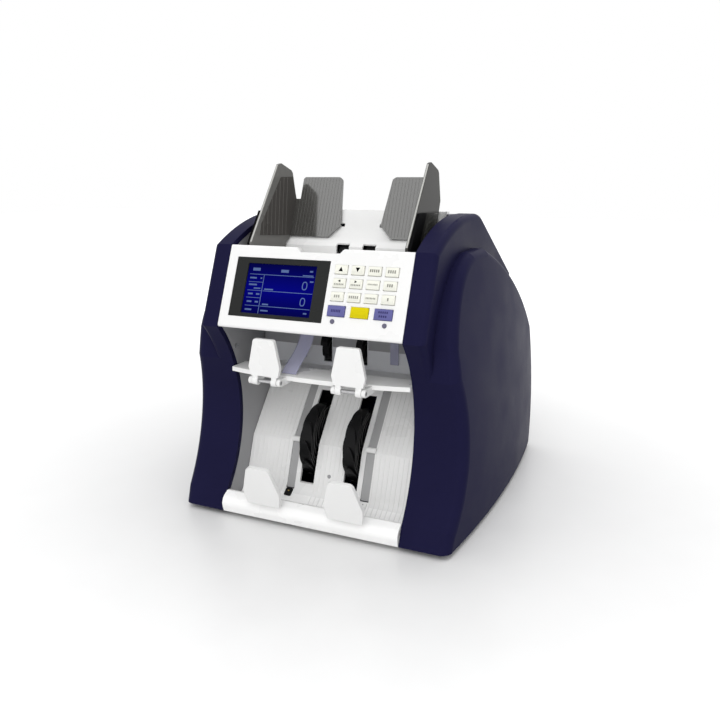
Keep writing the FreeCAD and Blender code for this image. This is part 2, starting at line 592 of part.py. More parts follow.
# Pinion teeth follow an involute, thinned by the backlash
def pinion_shape():
    module, teeth, play = size("gear_module"), int(round(size("pinion_teeth"))), size("gear_backlash")
    radius = module * teeth / 2
    base = radius * math.cos(math.radians(20))
    tip, root = radius + 0.9 * module, radius - 1.25 * module
    spread = math.sqrt((radius / base) ** 2 - 1)
    half_angle = math.pi / (2 * teeth) - play / (4 * radius) + spread - math.atan(spread)
    flank = []
    for step in range(5):
        reach = base + (tip - base) * step / 4
        roll = math.sqrt((reach / base) ** 2 - 1)
        flank.append((reach, half_angle - (roll - math.atan(roll))))
    flank = [(root, flank[0][1])] + flank
    corners = []
    for tooth in range(teeth):
        middle = math.pi / 2 + 2 * math.pi * tooth / teeth
        corners += [(reach, middle - angle) for reach, angle in flank]
        corners += [(reach, middle + angle) for reach, angle in reversed(flank)]
    points = [polar(reach, angle) for reach, angle in corners]
    outline = Part.Face(Part.makePolygon(points + points[:1]))
    gear = outline.extrude(FreeCAD.Vector(0, 0, size("carrier_wall")))
    return gear.cut(Part.makeCylinder(size("stud_radius") + size("running_fit"), size("carrier_wall")))


for side, sign in (("left", "-1"), ("right", "1")):
    centre = "(%s * %s)" % (sign, guide_x)
    keep(side + "_side_guide", prism(side + "_side_guide", guide_corners, "guide_wall", from_side(
        centre + " - guide_wall / 2"), {5: "guide_round", 6: "guide_round", 8: "guide_round"}))
    outside = centre + (" - guide_wall / 2 - bracket_wall" if side == "left" else " + guide_wall / 2")
    keep(side + "_guide_bracket", prism(
        side + "_guide_bracket", bracket_corners, "bracket_wall", from_side(outside)))
    plate_corners = [
        ("guide_wall / 2", "plate_foot"), ("plate_low_reach", "plate_foot"),
        ("plate_reach", "plate_chamfer"),
        ("plate_top_reach", "plate_height"), ("plate_inset", "plate_height"),
        ("plate_inset", "guide_vertex_s"), ("guide_wall / 2", "guide_vertex_s")]
    plate_corners = [("%s * (%s - %s)" % (sign, guide_x, x), along) for x, along in plate_corners]
    keep(side + "_back_plate", prism(side + "_back_plate", plate_corners, "plate_wall", on_plate(
        "0", "0", "-plate_wall"), {3: "plate_round", 4: "guide_round"}))
    middle = "(%s * (%s - carrier_inset))" % (sign, guide_x)
    arm = box(side + "_arm", (
        "carrier_width", "slot_height - 2 * carrier_fit", "-(%s) - plate_wall" % plate_back), on_plate(
        middle + " - carrier_width / 2", "slot_low + carrier_fit", plate_back))
    rise = pitch_radius + " + 1.25 * gear_module + rack_back + slot_height / 2 - carrier_fit"
    low = "slot_low + carrier_fit"
    if side == "right":
        low = "slot_low + slot_height - carrier_fit - (%s)" % rise
    web = box(side + "_web", ("carrier_width + 4", rise, "carrier_wall"), on_plate(
        middle + " - carrier_width / 2 - 2", low, plate_back + " - carrier_wall"))
    rack = doc.addObject("Part::Feature", side + "_rack")
    rack.Shape = rack_shape(-carrier_end(), size("rack_reach"))
    if side == "right":
        rack.Shape = rack.Shape.mirror(FreeCAD.Vector(0, 0, 0), FreeCAD.Vector(1, 0, 0)).mirror(
            FreeCAD.Vector(0, 0, 0), FreeCAD.Vector(0, 1, 0))
    rack.setExpression("Placement", bind(on_plate("0", slot_mid, plate_back + " - carrier_wall")))
    keep(side + "_guide_rack", fuse(side + "_guide_rack", [arm, web, rack]))

pinion = doc.addObject("Part::Feature", "guide_pinion")
pinion.Shape = pinion_shape()
pinion.setExpression("Placement", bind(on_plate("0", slot_mid, plate_back + " - carrier_wall")))
keep("guide_pinion", pinion)

# Reject pocket: bowed shelf with stopper arms, back wall and the soft film
floor_drop = "(shelf_z + shelf_wall - 2.5)"
shelf = prism("shelf_floor", [
    ("shelf_front_y - 6", "shelf_z"), ("shelf_front_y - 6", "shelf_z + shelf_wall"),
    ("shelf_lip_y", "shelf_z + shelf_wall"), ("shelf_lip_y + 3", floor_drop),
    ("shelf_back_y", "shelf_back_z + shelf_floor_wall"), ("shelf_back_y", "shelf_back_z"),
    ("shelf_lip_y + 3", floor_drop + " - shelf_floor_wall"), ("shelf_lip_y", "shelf_z"),
], span, from_side("-" + half))
bow = cylinder("shelf_bow_front", "shelf_bow", "60", at("0", "shelf_front_y + shelf_bow", "shelf_z - 30"))
bowed = doc.addObject("Part::MultiCommon", "shelf_bowed")
bowed.Shapes = [shelf, bow]
arm_inner = "(knuckle_x + knuckle_width + knuckle_gap)"
shelf_pieces = [bowed]
shelf_holes = []
stopper_pins = []
pivot_place = ("pivot_y", "pivot_z")
for side, sign in (("left", "-1"), ("right", "1")):
    centre = "(%s * stopper_x)" % sign
    for hand, start in (("a", centre + " - %s - arm_width" % arm_inner), ("b", centre + " + " + arm_inner)):
        name = "shelf_arm_%s_%s" % (side, hand)
        shelf_pieces.append(box(name, (
            "arm_width", "shelf_front_y - pivot_y + arm_overlap", "2 * arm_radius"), at(
            start, "pivot_y", "pivot_z - arm_radius")))
        shelf_pieces.append(cylinder(name + "_end", "arm_radius", "arm_width", along_x(
            start, *pivot_place)))
    reach = "(2 * (%s + arm_width))" % arm_inner
    shelf_holes.append(cylinder("shelf_hole_" + side, "pin_radius", reach + " + 2", along_x(
        centre + " - %s / 2 - 1" % reach, *pivot_place)))
    stopper_pins.append(cylinder("pin_" + side, "pin_radius", reach, along_x(
        centre + " - %s / 2" % reach, *pivot_place)))
keep("reject_shelf", cut("reject_shelf", fuse("shelf_body", shelf_pieces), shelf_holes))

wall_block = box("reject_wall_block", (span, "reject_wall", "reject_wall_top_z - reject_wall_low_z"), at(
    "-" + half, "reject_wall_y", "reject_wall_low_z"))
wall_windows = []
for side, sign in (("left", "-"), ("right", "")):
    wall_windows.append(box("reject_window_" + side, (
        "reject_window_width", "reject_wall + 2", "2 * reject_wheel_radius"), at(
        sign + "reject_wheel_x - reject_window_width / 2", "reject_wall_y - 1",
        "reject_z - reject_wheel_radius")))
keep("reject_back_wall", cut("reject_back_wall", wall_block, wall_windows))
film_path = [("film_top_y", "panel_low_z"), ("film_top_y - 3", "film_bend_z + 15"),
             ("film_bend_y", "film_bend_z"), ("film_low_y", "shelf_z + shelf_wall + film_gap")]
film_back = [("%s + film_wall" % y, z) for y, z in reversed(film_path)]
keep("reject_film", prism("reject_film", film_path + film_back, "film_width", from_side("film_left_x")))

# Upper stoppers swing on pins between the shelf arms
for side, sign in (("left", "-1"), ("right", "1")):
    centre = "(%s * stopper_x)" % sign
    outline = []
    for hand in ("-", ""):
        row = [("stopper_low_width", "stopper_low_z"), ("stopper_width", "stopper_mid_z"),
               ("stopper_top_width", "stopper_top_z")]
        row = [("%s%s / 2" % (hand, width), z) for width, z in row]
        outline += row if hand else list(reversed(row))
    plate = prism(side + "_upper_plate", outline, "stopper_wall", at(
        centre, "stopper_y + stopper_wall", "0", "90"), {2: "stopper_round", 3: "stopper_round"})
    pieces = [plate]
    for hand, start in (("a", centre + " - knuckle_x - knuckle_width"), ("b", centre + " + knuckle_x")):
        name = side + "_upper_knuckle_" + hand
        pieces.append(cylinder(name, "knuckle_radius", "knuckle_width", along_x(start, *pivot_place)))
        pieces.append(box(name + "_leg", (
            "knuckle_width", "stopper_wall", "stopper_low_z + stopper_round - pivot_z"), at(
            start, "stopper_y", "pivot_z")))
    bore = cylinder(side + "_upper_bore", "pin_radius + running_fit", "stopper_width", along_x(
        centre + " - stopper_width / 2", *pivot_place))
    body = fuse(side + "_upper_body", pieces)
    keep(side + "_upper_stopper", cut(side + "_upper_stopper", body, [bore]))

# Front lip: the white strip under the stacker, its floor and the stopper lugs
lip = prism("lip_strip", [
    ("0", "0"), ("-lip_bulge", "lip_top_z * 0.45"), ("0.5", "lip_top_z * 0.8"), ("lip_top_y", "lip_top_z"),
    ("lip_top_y + lip_crest", "lip_top_z - 0.6"), ("lip_top_y + lip_crest + 1.5", "trough_z"),
    ("trough_back_y", "trough_z"), ("chute_low_y - 0.5", "lip_floor_z"),
    ("chute_low_y - 0.5", "lip_floor_z - lip_wall * 1.3"), ("trough_back_y + 1", "trough_z - lip_wall"),
    ("lip_flange", "trough_z - lip_wall"), ("lip_flange", "0"),
    ("lip_top_y + lip_crest + 1.5 - lip_wall", "0"),
    ("lip_top_y + lip_crest - lip_wall", "lip_top_z - lip_wall - 1"), ("lip_wall + 0.6", "lip_top_z * 0.72"),
    ("lip_wall - lip_bulge", "lip_top_z * 0.45"), ("lip_wall", "0"),
], span, from_side("-" + half))
lip_pieces = [lip]
lip_holes = []
lower_pivot = ("lower_pivot_y", "lower_pivot_z")
lug_inner = "(lower_knuckle_width / 2 + knuckle_gap)"
for side, sign in (("left", "-1"), ("right", "1")):
    centre = "(%s * stopper_x)" % sign
    for hand, start in (("a", centre + " - %s - lug_width" % lug_inner), ("b", centre + " + " + lug_inner)):
        name = "lip_lug_%s_%s" % (side, hand)
        lip_pieces.append(prism(name, [
            ("lower_pivot_y - pin_radius - eye_wall", "lower_pivot_z"),
            ("lower_pivot_y + pin_radius + eye_wall", "lower_pivot_z"),
            ("lip_top_y + 4", "lip_top_z - 1.6"), ("lip_top_y - 1", "lip_top_z - 2.4"),
            ("lower_pivot_y + pin_radius + 1", "lip_top_z * 0.82")], "lug_width", from_side(start)))
        lip_pieces.append(cylinder(name + "_end", "pin_radius + eye_wall", "lug_width", along_x(
            start, *lower_pivot)))
    reach = "(2 * (%s + lug_width))" % lug_inner
    lip_holes.append(cylinder("lip_hole_" + side, "pin_radius", reach + " + 2", along_x(
        centre + " - %s / 2 - 1" % reach, *lower_pivot)))
    stopper_pins.append(cylinder("lower_pin_" + side, "pin_radius", reach, along_x(
        centre + " - %s / 2" % reach, *lower_pivot)))
keep("front_lip", cut("front_lip", fuse("lip_body", lip_pieces), lip_holes))
keep("stopper_pins", group("stopper_pins", stopper_pins))


def on_lower_stopper(x, along, out):
    return on_slope(x, along, out, "lower_stopper_y", "lower_stopper_z", "(-lower_stopper_lean)")


for side, sign in (("left", "-1"), ("right", "1")):
    centre = "(%s * stopper_x)" % sign
    outline = []
    for hand in ("-", ""):
        row = [("lower_stopper_low_width", "0"), ("lower_stopper_width", "lower_stopper_mid"),
               ("lower_stopper_top_width", "lower_stopper_height")]
        row = [("%s%s / 2" % (hand, width), along) for width, along in row]
        outline += row if hand else list(reversed(row))
    plate = prism(side + "_lower_plate", outline, "stopper_wall", on_lower_stopper(
        centre, "0", "-stopper_wall / 2"), {2: "lower_stopper_round", 3: "lower_stopper_round"})
    start = centre + " - lower_knuckle_width / 2"
    knuckle = cylinder(side + "_lower_knuckle", "pin_radius + eye_wall", "lower_knuckle_width", along_x(
        start, *lower_pivot))
    bridge = box(side + "_lower_bridge", (
        "lower_knuckle_width", "lower_pivot_y - lower_stopper_y", "2 * pin_radius + 1"), at(
        start, "lower_stopper_y", "lower_pivot_z - pin_radius - 0.5"))
    bore = cylinder(side + "_lower_bore", "pin_radius + running_fit", "lower_knuckle_width + 2",
                    along_x(start + " - 1", *lower_pivot))
    body = fuse(side + "_lower_body", [plate, knuckle, bridge])
    keep(side + "_lower_stopper", cut(side + "_lower_stopper", body, [bore]))

# Stacker chute: a folded white back with wheel slots and two shallow sensor grooves
chute_front = [(end + "_y", end + "_z") for end in ("chute_low", "chute_fold", "chute_top")]
chute_back = [("%s + chute_wall * 1.25" % y, z) for y, z in reversed(chute_front)]
chute = prism("chute_sheet", chute_front + chute_back, span, from_side("-" + half))
groove_back = [("%s + groove_depth" % y, z) for y, z in chute_front]
groove_front = [("%s - 12" % y, z) for y, z in reversed(chute_front)]
chute_cuts = []
for side, sign in (("left", "-"), ("right", "")):
    chute_cuts.append(prism("groove_" + side, groove_back + groove_front, "groove_width", from_side(
        sign + "groove_x - groove_width / 2")))
    chute_cuts.append(box("wheel_slot_" + side, (
        "wheel_slot", "130", "wheel_slot_top_z - wheel_slot_low_z"), at(
        sign + "wheel_x - wheel_slot / 2", "30", "wheel_slot_low_z")))
keep("stacker_chute", cut("stacker_chute", chute, chute_cuts))
sensors = []
trough_slope = "((lip_floor_z - trough_z) / (chute_low_y - 0.5 - trough_back_y))"
sensor_back, sensor_front = "(chute_low_y - 1.1)", "(chute_low_y - 1.1 - sensor_length)"
sensor_high = "(lip_floor_z - 0.6 * %s + sensor_gap)" % trough_slope
sensor_low = "(%s - sensor_length * %s)" % (sensor_high, trough_slope)
for side, sign in (("left", "-"), ("right", "")):
    sensors.append(prism("sensor_" + side, [
        (sensor_front, sensor_low), (sensor_front, sensor_low + " + sensor_height"),
        (sensor_back, sensor_high + " + sensor_height"), (sensor_back, sensor_high),
    ], "sensor_width", from_side(sign + "groove_x - sensor_width / 2")))
keep("stack_sensors", group("stack_sensors", sensors))


# Finned rubber wheels: curved fins around a hub, bored for the shaft
def finned_wheel(radius, hub, fins, sweep, width):
    body = Part.makeCylinder(hub, width)
    wall = size("fin_wall")
    root, bend = hub - 1.0, (hub + radius) / 2
    swing = math.radians(sweep)
    turn = swing * size("fin_bend")
    half_root, half_bend, half_tip = wall / 2 / root, wall / 2 / bend, wall / 3 / radius
    lead = [polar(root, -half_root), polar(bend, turn - half_bend), polar(radius, swing - half_tip)]
    trail = [polar(radius, swing + half_tip), polar(bend, turn + half_bend), polar(root, half_root)]
    wire = Part.Wire([arc(*lead), line(lead[2], trail[0]), arc(*trail), line(trail[2], lead[0])])
    fin = Part.Face(wire).extrude(FreeCAD.Vector(0, 0, width))
    blades = []
    for number in range(int(round(fins))):
        blade = fin.copy()
        blade.rotate(FreeCAD.Vector(0, 0, 0), FreeCAD.Vector(0, 0, 1), 360.0 * number / round(fins))
        blades.append(blade)
    wheel = body.multiFuse(blades).removeSplitter()
    return wheel.cut(Part.makeCylinder(size("shaft_radius"), width))


def wheel_pair(label, shape, x, y, z):
    pair = []
    for side, sign in (("left", "-"), ("right", "")):
        item = doc.addObject("Part::Feature", "%s_%s" % (label, side))
        item.Shape = shape
        item.setExpression("Placement", bind(along_x("%s%s" % (sign, x[0]) + " - %s / 2" % x[1], y, z)))
        pair.append(item)
    keep(label, group(label, pair))


big_wheel = finned_wheel(*map(size, (
    "wheel_radius", "wheel_hub", "wheel_fins", "fin_sweep", "wheel_width")))
small_wheel = finned_wheel(*map(size, (
    "reject_wheel_radius", "reject_wheel_hub", "reject_fins", "reject_fin_sweep", "reject_wheel_width")))
wheel_pair("stacker_wheels", big_wheel, ("wheel_x", "wheel_width"), "wheel_y", "wheel_z")
wheel_pair("reject_wheels", small_wheel, ("reject_wheel_x", "reject_wheel_width"), "reject_y", "reject_z")
tyre = Part.makeCylinder(size("feed_roller_radius"), size("feed_roller_width"))
wheel_pair("feed_rollers", tyre.cut(Part.makeCylinder(size("shaft_radius"), size("feed_roller_width"))),
           ("window_x", "feed_roller_width"), "feed_y", "feed_z")

# Shafts, each with its pulley outside the left frame
frame_outer = "(inner_width / 2 + frame_gap + frame_wall)"
pulley_start = "(-(%s) - pulley_gap - pulley_width)" % frame_outer


def pulley(name, y, z):
    pieces = [cylinder(name + "_drum", "pulley_radius", "pulley_width", along_x(pulley_start, y, z))]
    for hand, start in (("a", pulley_start), ("b", pulley_start + " + pulley_width - flange_wall")):
        pieces.append(cylinder(
            name + "_flange_" + hand, "pulley_radius + pulley_rim", "flange_wall", along_x(start, y, z)))
    return pieces


for name, prefix in (("stacker_shaft", "wheel"), ("reject_shaft", "reject"), ("feed_shaft", "feed")):
    y, z = prefix + "_y", prefix + "_z"
    length = "-(%s) + %s + shaft_overhang" % (pulley_start, frame_outer)
    rod = cylinder(name + "_rod", "shaft_radius", length, along_x(pulley_start, y, z))
    keep(name, fuse(name, [rod] + pulley(name, y, z)))

motor_face = "(-%s + motor_gap)" % half
can = cylinder("motor_can", "motor_radius", "motor_length", along_x(motor_face, "motor_y", "motor_z"))
bore = cylinder("motor_bore", "shaft_radius + running_fit", "motor_bore_depth", along_x(
    motor_face, "motor_y", "motor_z"))
keep("drive_motor", cut("drive_motor", can, [bore]))
spindle = cylinder("motor_spindle", "shaft_radius", "-(%s) + %s + motor_bore_depth - 1" % (
    pulley_start, motor_face), along_x(pulley_start, "motor_y", "motor_z"))
keep("motor_rotor", fuse("motor_rotor", [spindle] + pulley("motor_rotor", "motor_y", "motor_z")))


# Drive belt: one loop around the four pulleys
def belt_shape():
    names = ("wheel", "reject", "feed", "motor")
    corners = [point(size(name + "_y"), size(name + "_z")) for name in names]
    loop = Part.makePolygon(corners + corners[:1])
    inner = size("pulley_radius") + size("belt_fit")
    width = size("pulley_width") - 2 * size("flange_wall") - 0.6
    outside = Part.Face(loop.makeOffset2D(inner + size("belt_wall")))
    inside = Part.Face(loop.makeOffset2D(inner))
    belt = outside.cut(inside).extrude(FreeCAD.Vector(width, 0, 0))
    frame_face = size("inner_width") / 2 + size("frame_gap") + size("frame_wall")
    belt.translate(FreeCAD.Vector(
        -frame_face - size("pulley_gap") - size("pulley_width") + size("flange_wall") + 0.3, 0, 0))
    return belt


keep("drive_belt", solid("drive_belt", belt_shape()))

# Base plate, feet, rear cover, power parts and boards
keep("base_plate", box("base_plate", (
    span, "body_depth - base_back_gap - lip_flange - side_gap", "base_wall"), at(
    "-" + half, "lip_flange + side_gap", "0")))
feet = []
for end, y in (("front", "foot_front"), ("back", "body_depth - foot_back")):
    for side, sign in (("left", "-1"), ("right", "1")):
        x = "%s * (inner_width / 2 + foot_out)" % sign
        feet.append(cylinder("foot_%s_%s" % (end, side), "foot_radius", "foot_height", at(
            x, y, "-foot_height")))
keep("rubber_feet", group("rubber_feet", feet))

rear_y = "(body_depth - rear_gap)"
rear_z = "(back_top_z - rear_gap)"
ridge_z = "(body_top - rear_gap)"
rear = prism("rear_sheet", [
    ("rear_top_y", ridge_z), ("top_end_y", ridge_z), (rear_y, rear_z), (rear_y, "rear_low_z"),
    (rear_y + " - rear_wall", "rear_low_z"), (rear_y + " - rear_wall", rear_z + " - rear_wall * 0.6"),
    ("top_end_y - rear_wall * 0.3", ridge_z + " - rear_wall"), ("rear_top_y", ridge_z + " - rear_wall"),
], span, from_side("-" + half))
inlet_hole = box("inlet_hole", (
    "inlet_width + 2 * inlet_fit", "20", "inlet_height + 2 * inlet_fit"), at(
    "inlet_x - inlet_width / 2 - inlet_fit", rear_y + " - 10", "inlet_z - inlet_height / 2 - inlet_fit"))
rocker_hole = box("rocker_hole", (
    "rocker_width + 2 * rocker_gap", "20", "rocker_height + 2 * rocker_gap"), at(
    "rocker_x - rocker_width / 2 - rocker_gap", rear_y + " - 10",
    "inlet_z - rocker_height / 2 - rocker_gap"))
keep("rear_cover", cut("rear_cover", rear, [inlet_hole, rocker_hole]))
inlet_back = rear_y + " - inlet_depth + inlet_rise"
inlet_block = box("inlet_block", ("inlet_width", "inlet_depth", "inlet_height"), at(
    "inlet_x - inlet_width / 2", inlet_back, "inlet_z - inlet_height / 2"))
inlet_well = box("inlet_well", (
    "inlet_width - 2 * inlet_wall", "inlet_depth - inlet_wall", "inlet_height - 2 * inlet_wall"), at(
    "inlet_x - inlet_width / 2 + inlet_wall", inlet_back + " + inlet_wall",
    "inlet_z - inlet_height / 2 + inlet_wall"))
inlet_shell = cut("inlet_shell", inlet_block, [inlet_well])
blades = []
for number, step in enumerate(("-", "+", "-")):
    x = "inlet_x + %d * inlet_pin_pitch - inlet_pin" % (number - 1)
    z = "inlet_z %s inlet_pin_step - 1.5 * inlet_pin" % step
    blades.append(box("blade%d" % number, (
        "2 * inlet_pin", "inlet_depth - inlet_wall - inlet_rise", "3 * inlet_pin"), at(
        x, inlet_back + " + inlet_wall / 2", z)))
keep("power_inlet", fuse("power_inlet", [inlet_shell] + blades))
rocker = prism("rocker_block", [
    (rear_y + " - rocker_depth", "inlet_z - rocker_height / 4"),
    (rear_y + " - 1", "inlet_z - rocker_height / 2"),
    (rear_y + " + rocker_rise", "inlet_z - rocker_height / 2 + 0.6"), (rear_y + " + 0.6", "inlet_z"),
    (rear_y + " + rocker_rise", "inlet_z + rocker_height / 2 - 0.6"),
    (rear_y + " - 1", "inlet_z + rocker_height / 2"),
    (rear_y + " - rocker_depth", "inlet_z + rocker_height / 4"),
], "rocker_width", from_side("rocker_x - rocker_width / 2"))
rocker_pin = cylinder("rocker_pin", "rocker_pin", "rocker_width + 2 * rocker_pin_reach", along_x(
    "rocker_x - rocker_width / 2 - rocker_pin_reach", rear_y + " - 1", "inlet_z"))
keep("power_rocker", fuse("power_rocker", [rocker, rocker_pin]))
keep("main_board", box("main_board", ("main_board_width", "main_board_depth", "board_wall"), at(
    "-main_board_width / 2", "body_depth - main_board_back - main_board_depth", "main_board_z")))
screws = []
for side, start in (("left", "-inner_width / 2 - frame_gap"),
                    ("right", "inner_width / 2 + frame_gap - screw_head")):
    screws.append(cylinder("screw_" + side, "screw_radius", "screw_head", along_x(
        start, "screw_y", "screw_z")))
keep("frame_screws", group("frame_screws", screws))

# Check and write every piece
doc.recompute()
for item in doc.Objects:
    if "Invalid" in item.State or "Error" in item.State:
        raise RuntimeError("%s is in state %s" % (item.Label, item.State))
os.makedirs("parts", exist_ok=True)
for item in nodes:
    if item.Shape.isNull() or not item.Shape.isValid():
        raise RuntimeError("%s has no valid shape" % item.Label)
    item.Shape.exportStep("parts/%s.step" % item.Label)
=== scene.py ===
import bmesh
import bpy
import json
import math
import numpy as np
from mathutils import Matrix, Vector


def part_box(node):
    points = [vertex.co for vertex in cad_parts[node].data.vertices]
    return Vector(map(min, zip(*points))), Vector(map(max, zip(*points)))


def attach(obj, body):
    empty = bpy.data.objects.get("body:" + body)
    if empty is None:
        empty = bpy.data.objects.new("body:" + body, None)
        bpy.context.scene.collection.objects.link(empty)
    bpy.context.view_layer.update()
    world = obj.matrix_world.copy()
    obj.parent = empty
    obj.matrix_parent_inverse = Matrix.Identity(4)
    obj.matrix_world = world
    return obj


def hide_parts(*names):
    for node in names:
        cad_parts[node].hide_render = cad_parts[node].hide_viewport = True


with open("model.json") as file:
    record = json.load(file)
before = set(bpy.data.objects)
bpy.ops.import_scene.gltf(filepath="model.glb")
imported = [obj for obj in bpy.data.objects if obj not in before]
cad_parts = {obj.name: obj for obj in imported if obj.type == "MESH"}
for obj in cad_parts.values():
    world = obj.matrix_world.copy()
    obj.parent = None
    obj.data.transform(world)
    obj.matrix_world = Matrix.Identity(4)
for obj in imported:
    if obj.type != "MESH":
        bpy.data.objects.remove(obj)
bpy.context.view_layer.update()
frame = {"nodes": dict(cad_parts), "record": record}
slotOf = {part["node"]: part["material_slot"] for part in frame["record"]["subparts"]}
print("frame loaded:", len(frame["nodes"]), "nodes")

# depths and heights below are in mm from the front lip's bottom edge, as the solids count them
origin = {"depth": 179.17, "foot": 6.0}
sideSign = {"left": -1.0, "right": 1.0}
mirror = np.array([-1.0, 1.0])


def metres(x, y, z):
    x, y, z = np.broadcast_arrays(x, y, z)
    return np.stack([x, y - origin["depth"], z + origin["foot"]], -1) / 1000.0


# a tilted plane: s runs up the slope, out stands off its front
def onSlope(plane, x, s, out):
    tilt = math.radians(plane["tilt"])
    y = plane["y"] + s * math.sin(tilt) - out * math.cos(tilt)
    z = plane["z"] + s * math.cos(tilt) + out * math.sin(tilt)
    return metres(x, y, z)


panelPlane = {"y": 3.8, "z": 215.9, "tilt": 22.4}
platePlane = {"y": 142.2, "z": 304.0, "tilt": 21.8}


# a plain number or colour goes on the socket itself, another socket is linked to it
def feed(tree, socket, entry):
    if isinstance(entry, (int, float)):
        socket.default_value = entry
    elif isinstance(entry, tuple):
        socket.default_value = (*entry, 1.0)
    else:
        tree.links.new(entry, socket)


def setSockets(node, values):
    for label, value in values.items():
        node.inputs[label].default_value = value


def addNode(tree, kind, **values):
    node = tree.nodes.new(kind)
    setSockets(node, values)
    return node


def objectCoords(tree):
    return tree.nodes.new("ShaderNodeTexCoord").outputs["Object"]


def mapRange(tree, value, low, high, toLow, toHigh):
    node = tree.nodes.new("ShaderNodeMapRange")
    for socket, entry in zip(node.inputs[:5], (value, low, high, toLow, toHigh)):
        feed(tree, socket, entry)
    return node.outputs[0]


def maths(tree, operation, first, second):
    node = tree.nodes.new("ShaderNodeMath")
    node.operation = operation
    for socket, entry in zip(node.inputs[:2], (first, second)):
        feed(tree, socket, entry)
    return node.outputs[0]


# sockets 0, 6 and 7 of a colour mix are its mask and its two colours
def mixColour(tree, mask, first, second, blend="MIX"):
    node = tree.nodes.new("ShaderNodeMix")
    node.data_type = "RGBA"
    node.blend_type = blend
    for number, entry in ((0, mask), (6, first), (7, second)):
        feed(tree, node.inputs[number], entry)
    return node.outputs[2]


def multiply(tree, colour, factor):
    return mixColour(tree, 1.0, colour, factor, "MULTIPLY")


# shader groups shared by the finishes
def groupTree(name, inputs, outputs):
    tree = bpy.data.node_groups.new(name, "ShaderNodeTree")
    for label, value in inputs.items():
        socket = tree.interface.new_socket(label, in_out="INPUT", socket_type="NodeSocketFloat")
        socket.default_value = value
    for label in outputs:
        tree.interface.new_socket(label, in_out="OUTPUT", socket_type="NodeSocketFloat")
    return tree, tree.nodes.new("NodeGroupInput"), tree.nodes.new("NodeGroupOutput")


noiseSpan = (0.3, 0.7)
grainSpec = {"fineDetail": 3.0, "broadScale": 16.0, "broadDetail": 4.0}
dustSpec = {"scale": 70.0, "detail": 6.0, "upward": (0.5, 1.0), "patch": (0.35, 0.75), "thinnest": 0.3}


# moulded grain: fine noise for height, broad noise for tone and gloss
def grainGroup():
    tree, source, result = groupTree(
        "mouldGrain", {"Scale": 900.0, "Spread": 0.04, "Roughness": 0.4, "Vary": 0.06},
        ("Height", "Tone", "Roughness"))
    coords = objectCoords(tree)
    fine = addNode(tree, "ShaderNodeTexNoise", Detail=grainSpec["fineDetail"])
    broad = addNode(tree, "ShaderNodeTexNoise", Scale=grainSpec["broadScale"],
                    Detail=grainSpec["broadDetail"])
    tree.links.new(source.outputs["Scale"], fine.inputs["Scale"])
    for noise in (fine, broad):
        tree.links.new(coords, noise.inputs["Vector"])
    low = maths(tree, "SUBTRACT", 1.0, source.outputs["Spread"])
    high = maths(tree, "ADD", 1.0, source.outputs["Spread"])
    tone = mapRange(tree, broad.outputs[0], *noiseSpan, low, high)
    sharp = maths(tree, "SUBTRACT", source.outputs["Roughness"], source.outputs["Vary"])
    dull = maths(tree, "ADD", source.outputs["Roughness"], source.outputs["Vary"])
    tree.links.new(fine.outputs[0], result.inputs["Height"])
    tree.links.new(tone, result.inputs["Tone"])
    tree.links.new(mapRange(tree, broad.outputs[0], *noiseSpan, sharp, dull), result.inputs["Roughness"])
    return tree


# dust: settles where the surface faces up, broken by noise
def dustGroup():
    tree, source, result = groupTree("settledDust", {"Amount": 0.1}, ("Mask",))
    geometry = tree.nodes.new("ShaderNodeNewGeometry")
    split = tree.nodes.new("ShaderNodeSeparateXYZ")
    noise = addNode(tree, "ShaderNodeTexNoise", Scale=dustSpec["scale"], Detail=dustSpec["detail"])
    tree.links.new(objectCoords(tree), noise.inputs["Vector"])
    tree.links.new(geometry.outputs["Normal"], split.inputs[0])
    upward = mapRange(tree, split.outputs[2], *dustSpec["upward"], 0.0, 1.0)
    patch = mapRange(tree, noise.outputs[0], *dustSpec["patch"], dustSpec["thinnest"], 1.0)
    mask = maths(tree, "MULTIPLY", maths(tree, "MULTIPLY", upward, patch), source.outputs["Amount"])
    tree.links.new(mask, result.inputs["Mask"])
    return tree


grainTree = grainGroup()
dustTree = dustGroup()


def newMaterial(name):
    material = bpy.data.materials.new(name)
    material.use_nodes = True
    return material, material.node_tree, material.node_tree.nodes["Principled BSDF"]


def placeGroup(tree, group, values):
    node = tree.nodes.new("ShaderNodeGroup")
    node.node_tree = group
    setSockets(node, values)
    return node


# what a finish has unless it gives its own
plain = {"spread": 0.04, "vary": 0.05, "dust": 0.0, "sockets": {}}
dustColour = (0.55, 0.54, 0.52)
bumpDepth = 0.0002


# one plastic, rubber or painted finish from its values
def finish(name, spec):
    spec = {**plain, **spec}
    material, tree, shader = newMaterial(name)
    grain = placeGroup(tree, grainTree, {
        "Scale": spec["grainScale"], "Spread": spec["spread"], "Roughness": spec["roughness"],
        "Vary": spec["vary"]})
    colour = multiply(tree, spec["colour"], grain.outputs["Tone"])
    if spec["dust"]:
        dust = placeGroup(tree, dustTree, {"Amount": spec["dust"]})
        colour = mixColour(tree, dust.outputs["Mask"], colour, dustColour)
    tree.links.new(colour, shader.inputs["Base Color"])
    tree.links.new(grain.outputs["Roughness"], shader.inputs["Roughness"])
    bump = addNode(tree, "ShaderNodeBump", Strength=spec["bump"], Distance=bumpDepth)
    tree.links.new(grain.outputs["Height"], bump.inputs["Height"])
    tree.links.new(bump.outputs[0], shader.inputs["Normal"])
    setSockets(shader, spec["sockets"])
    return material


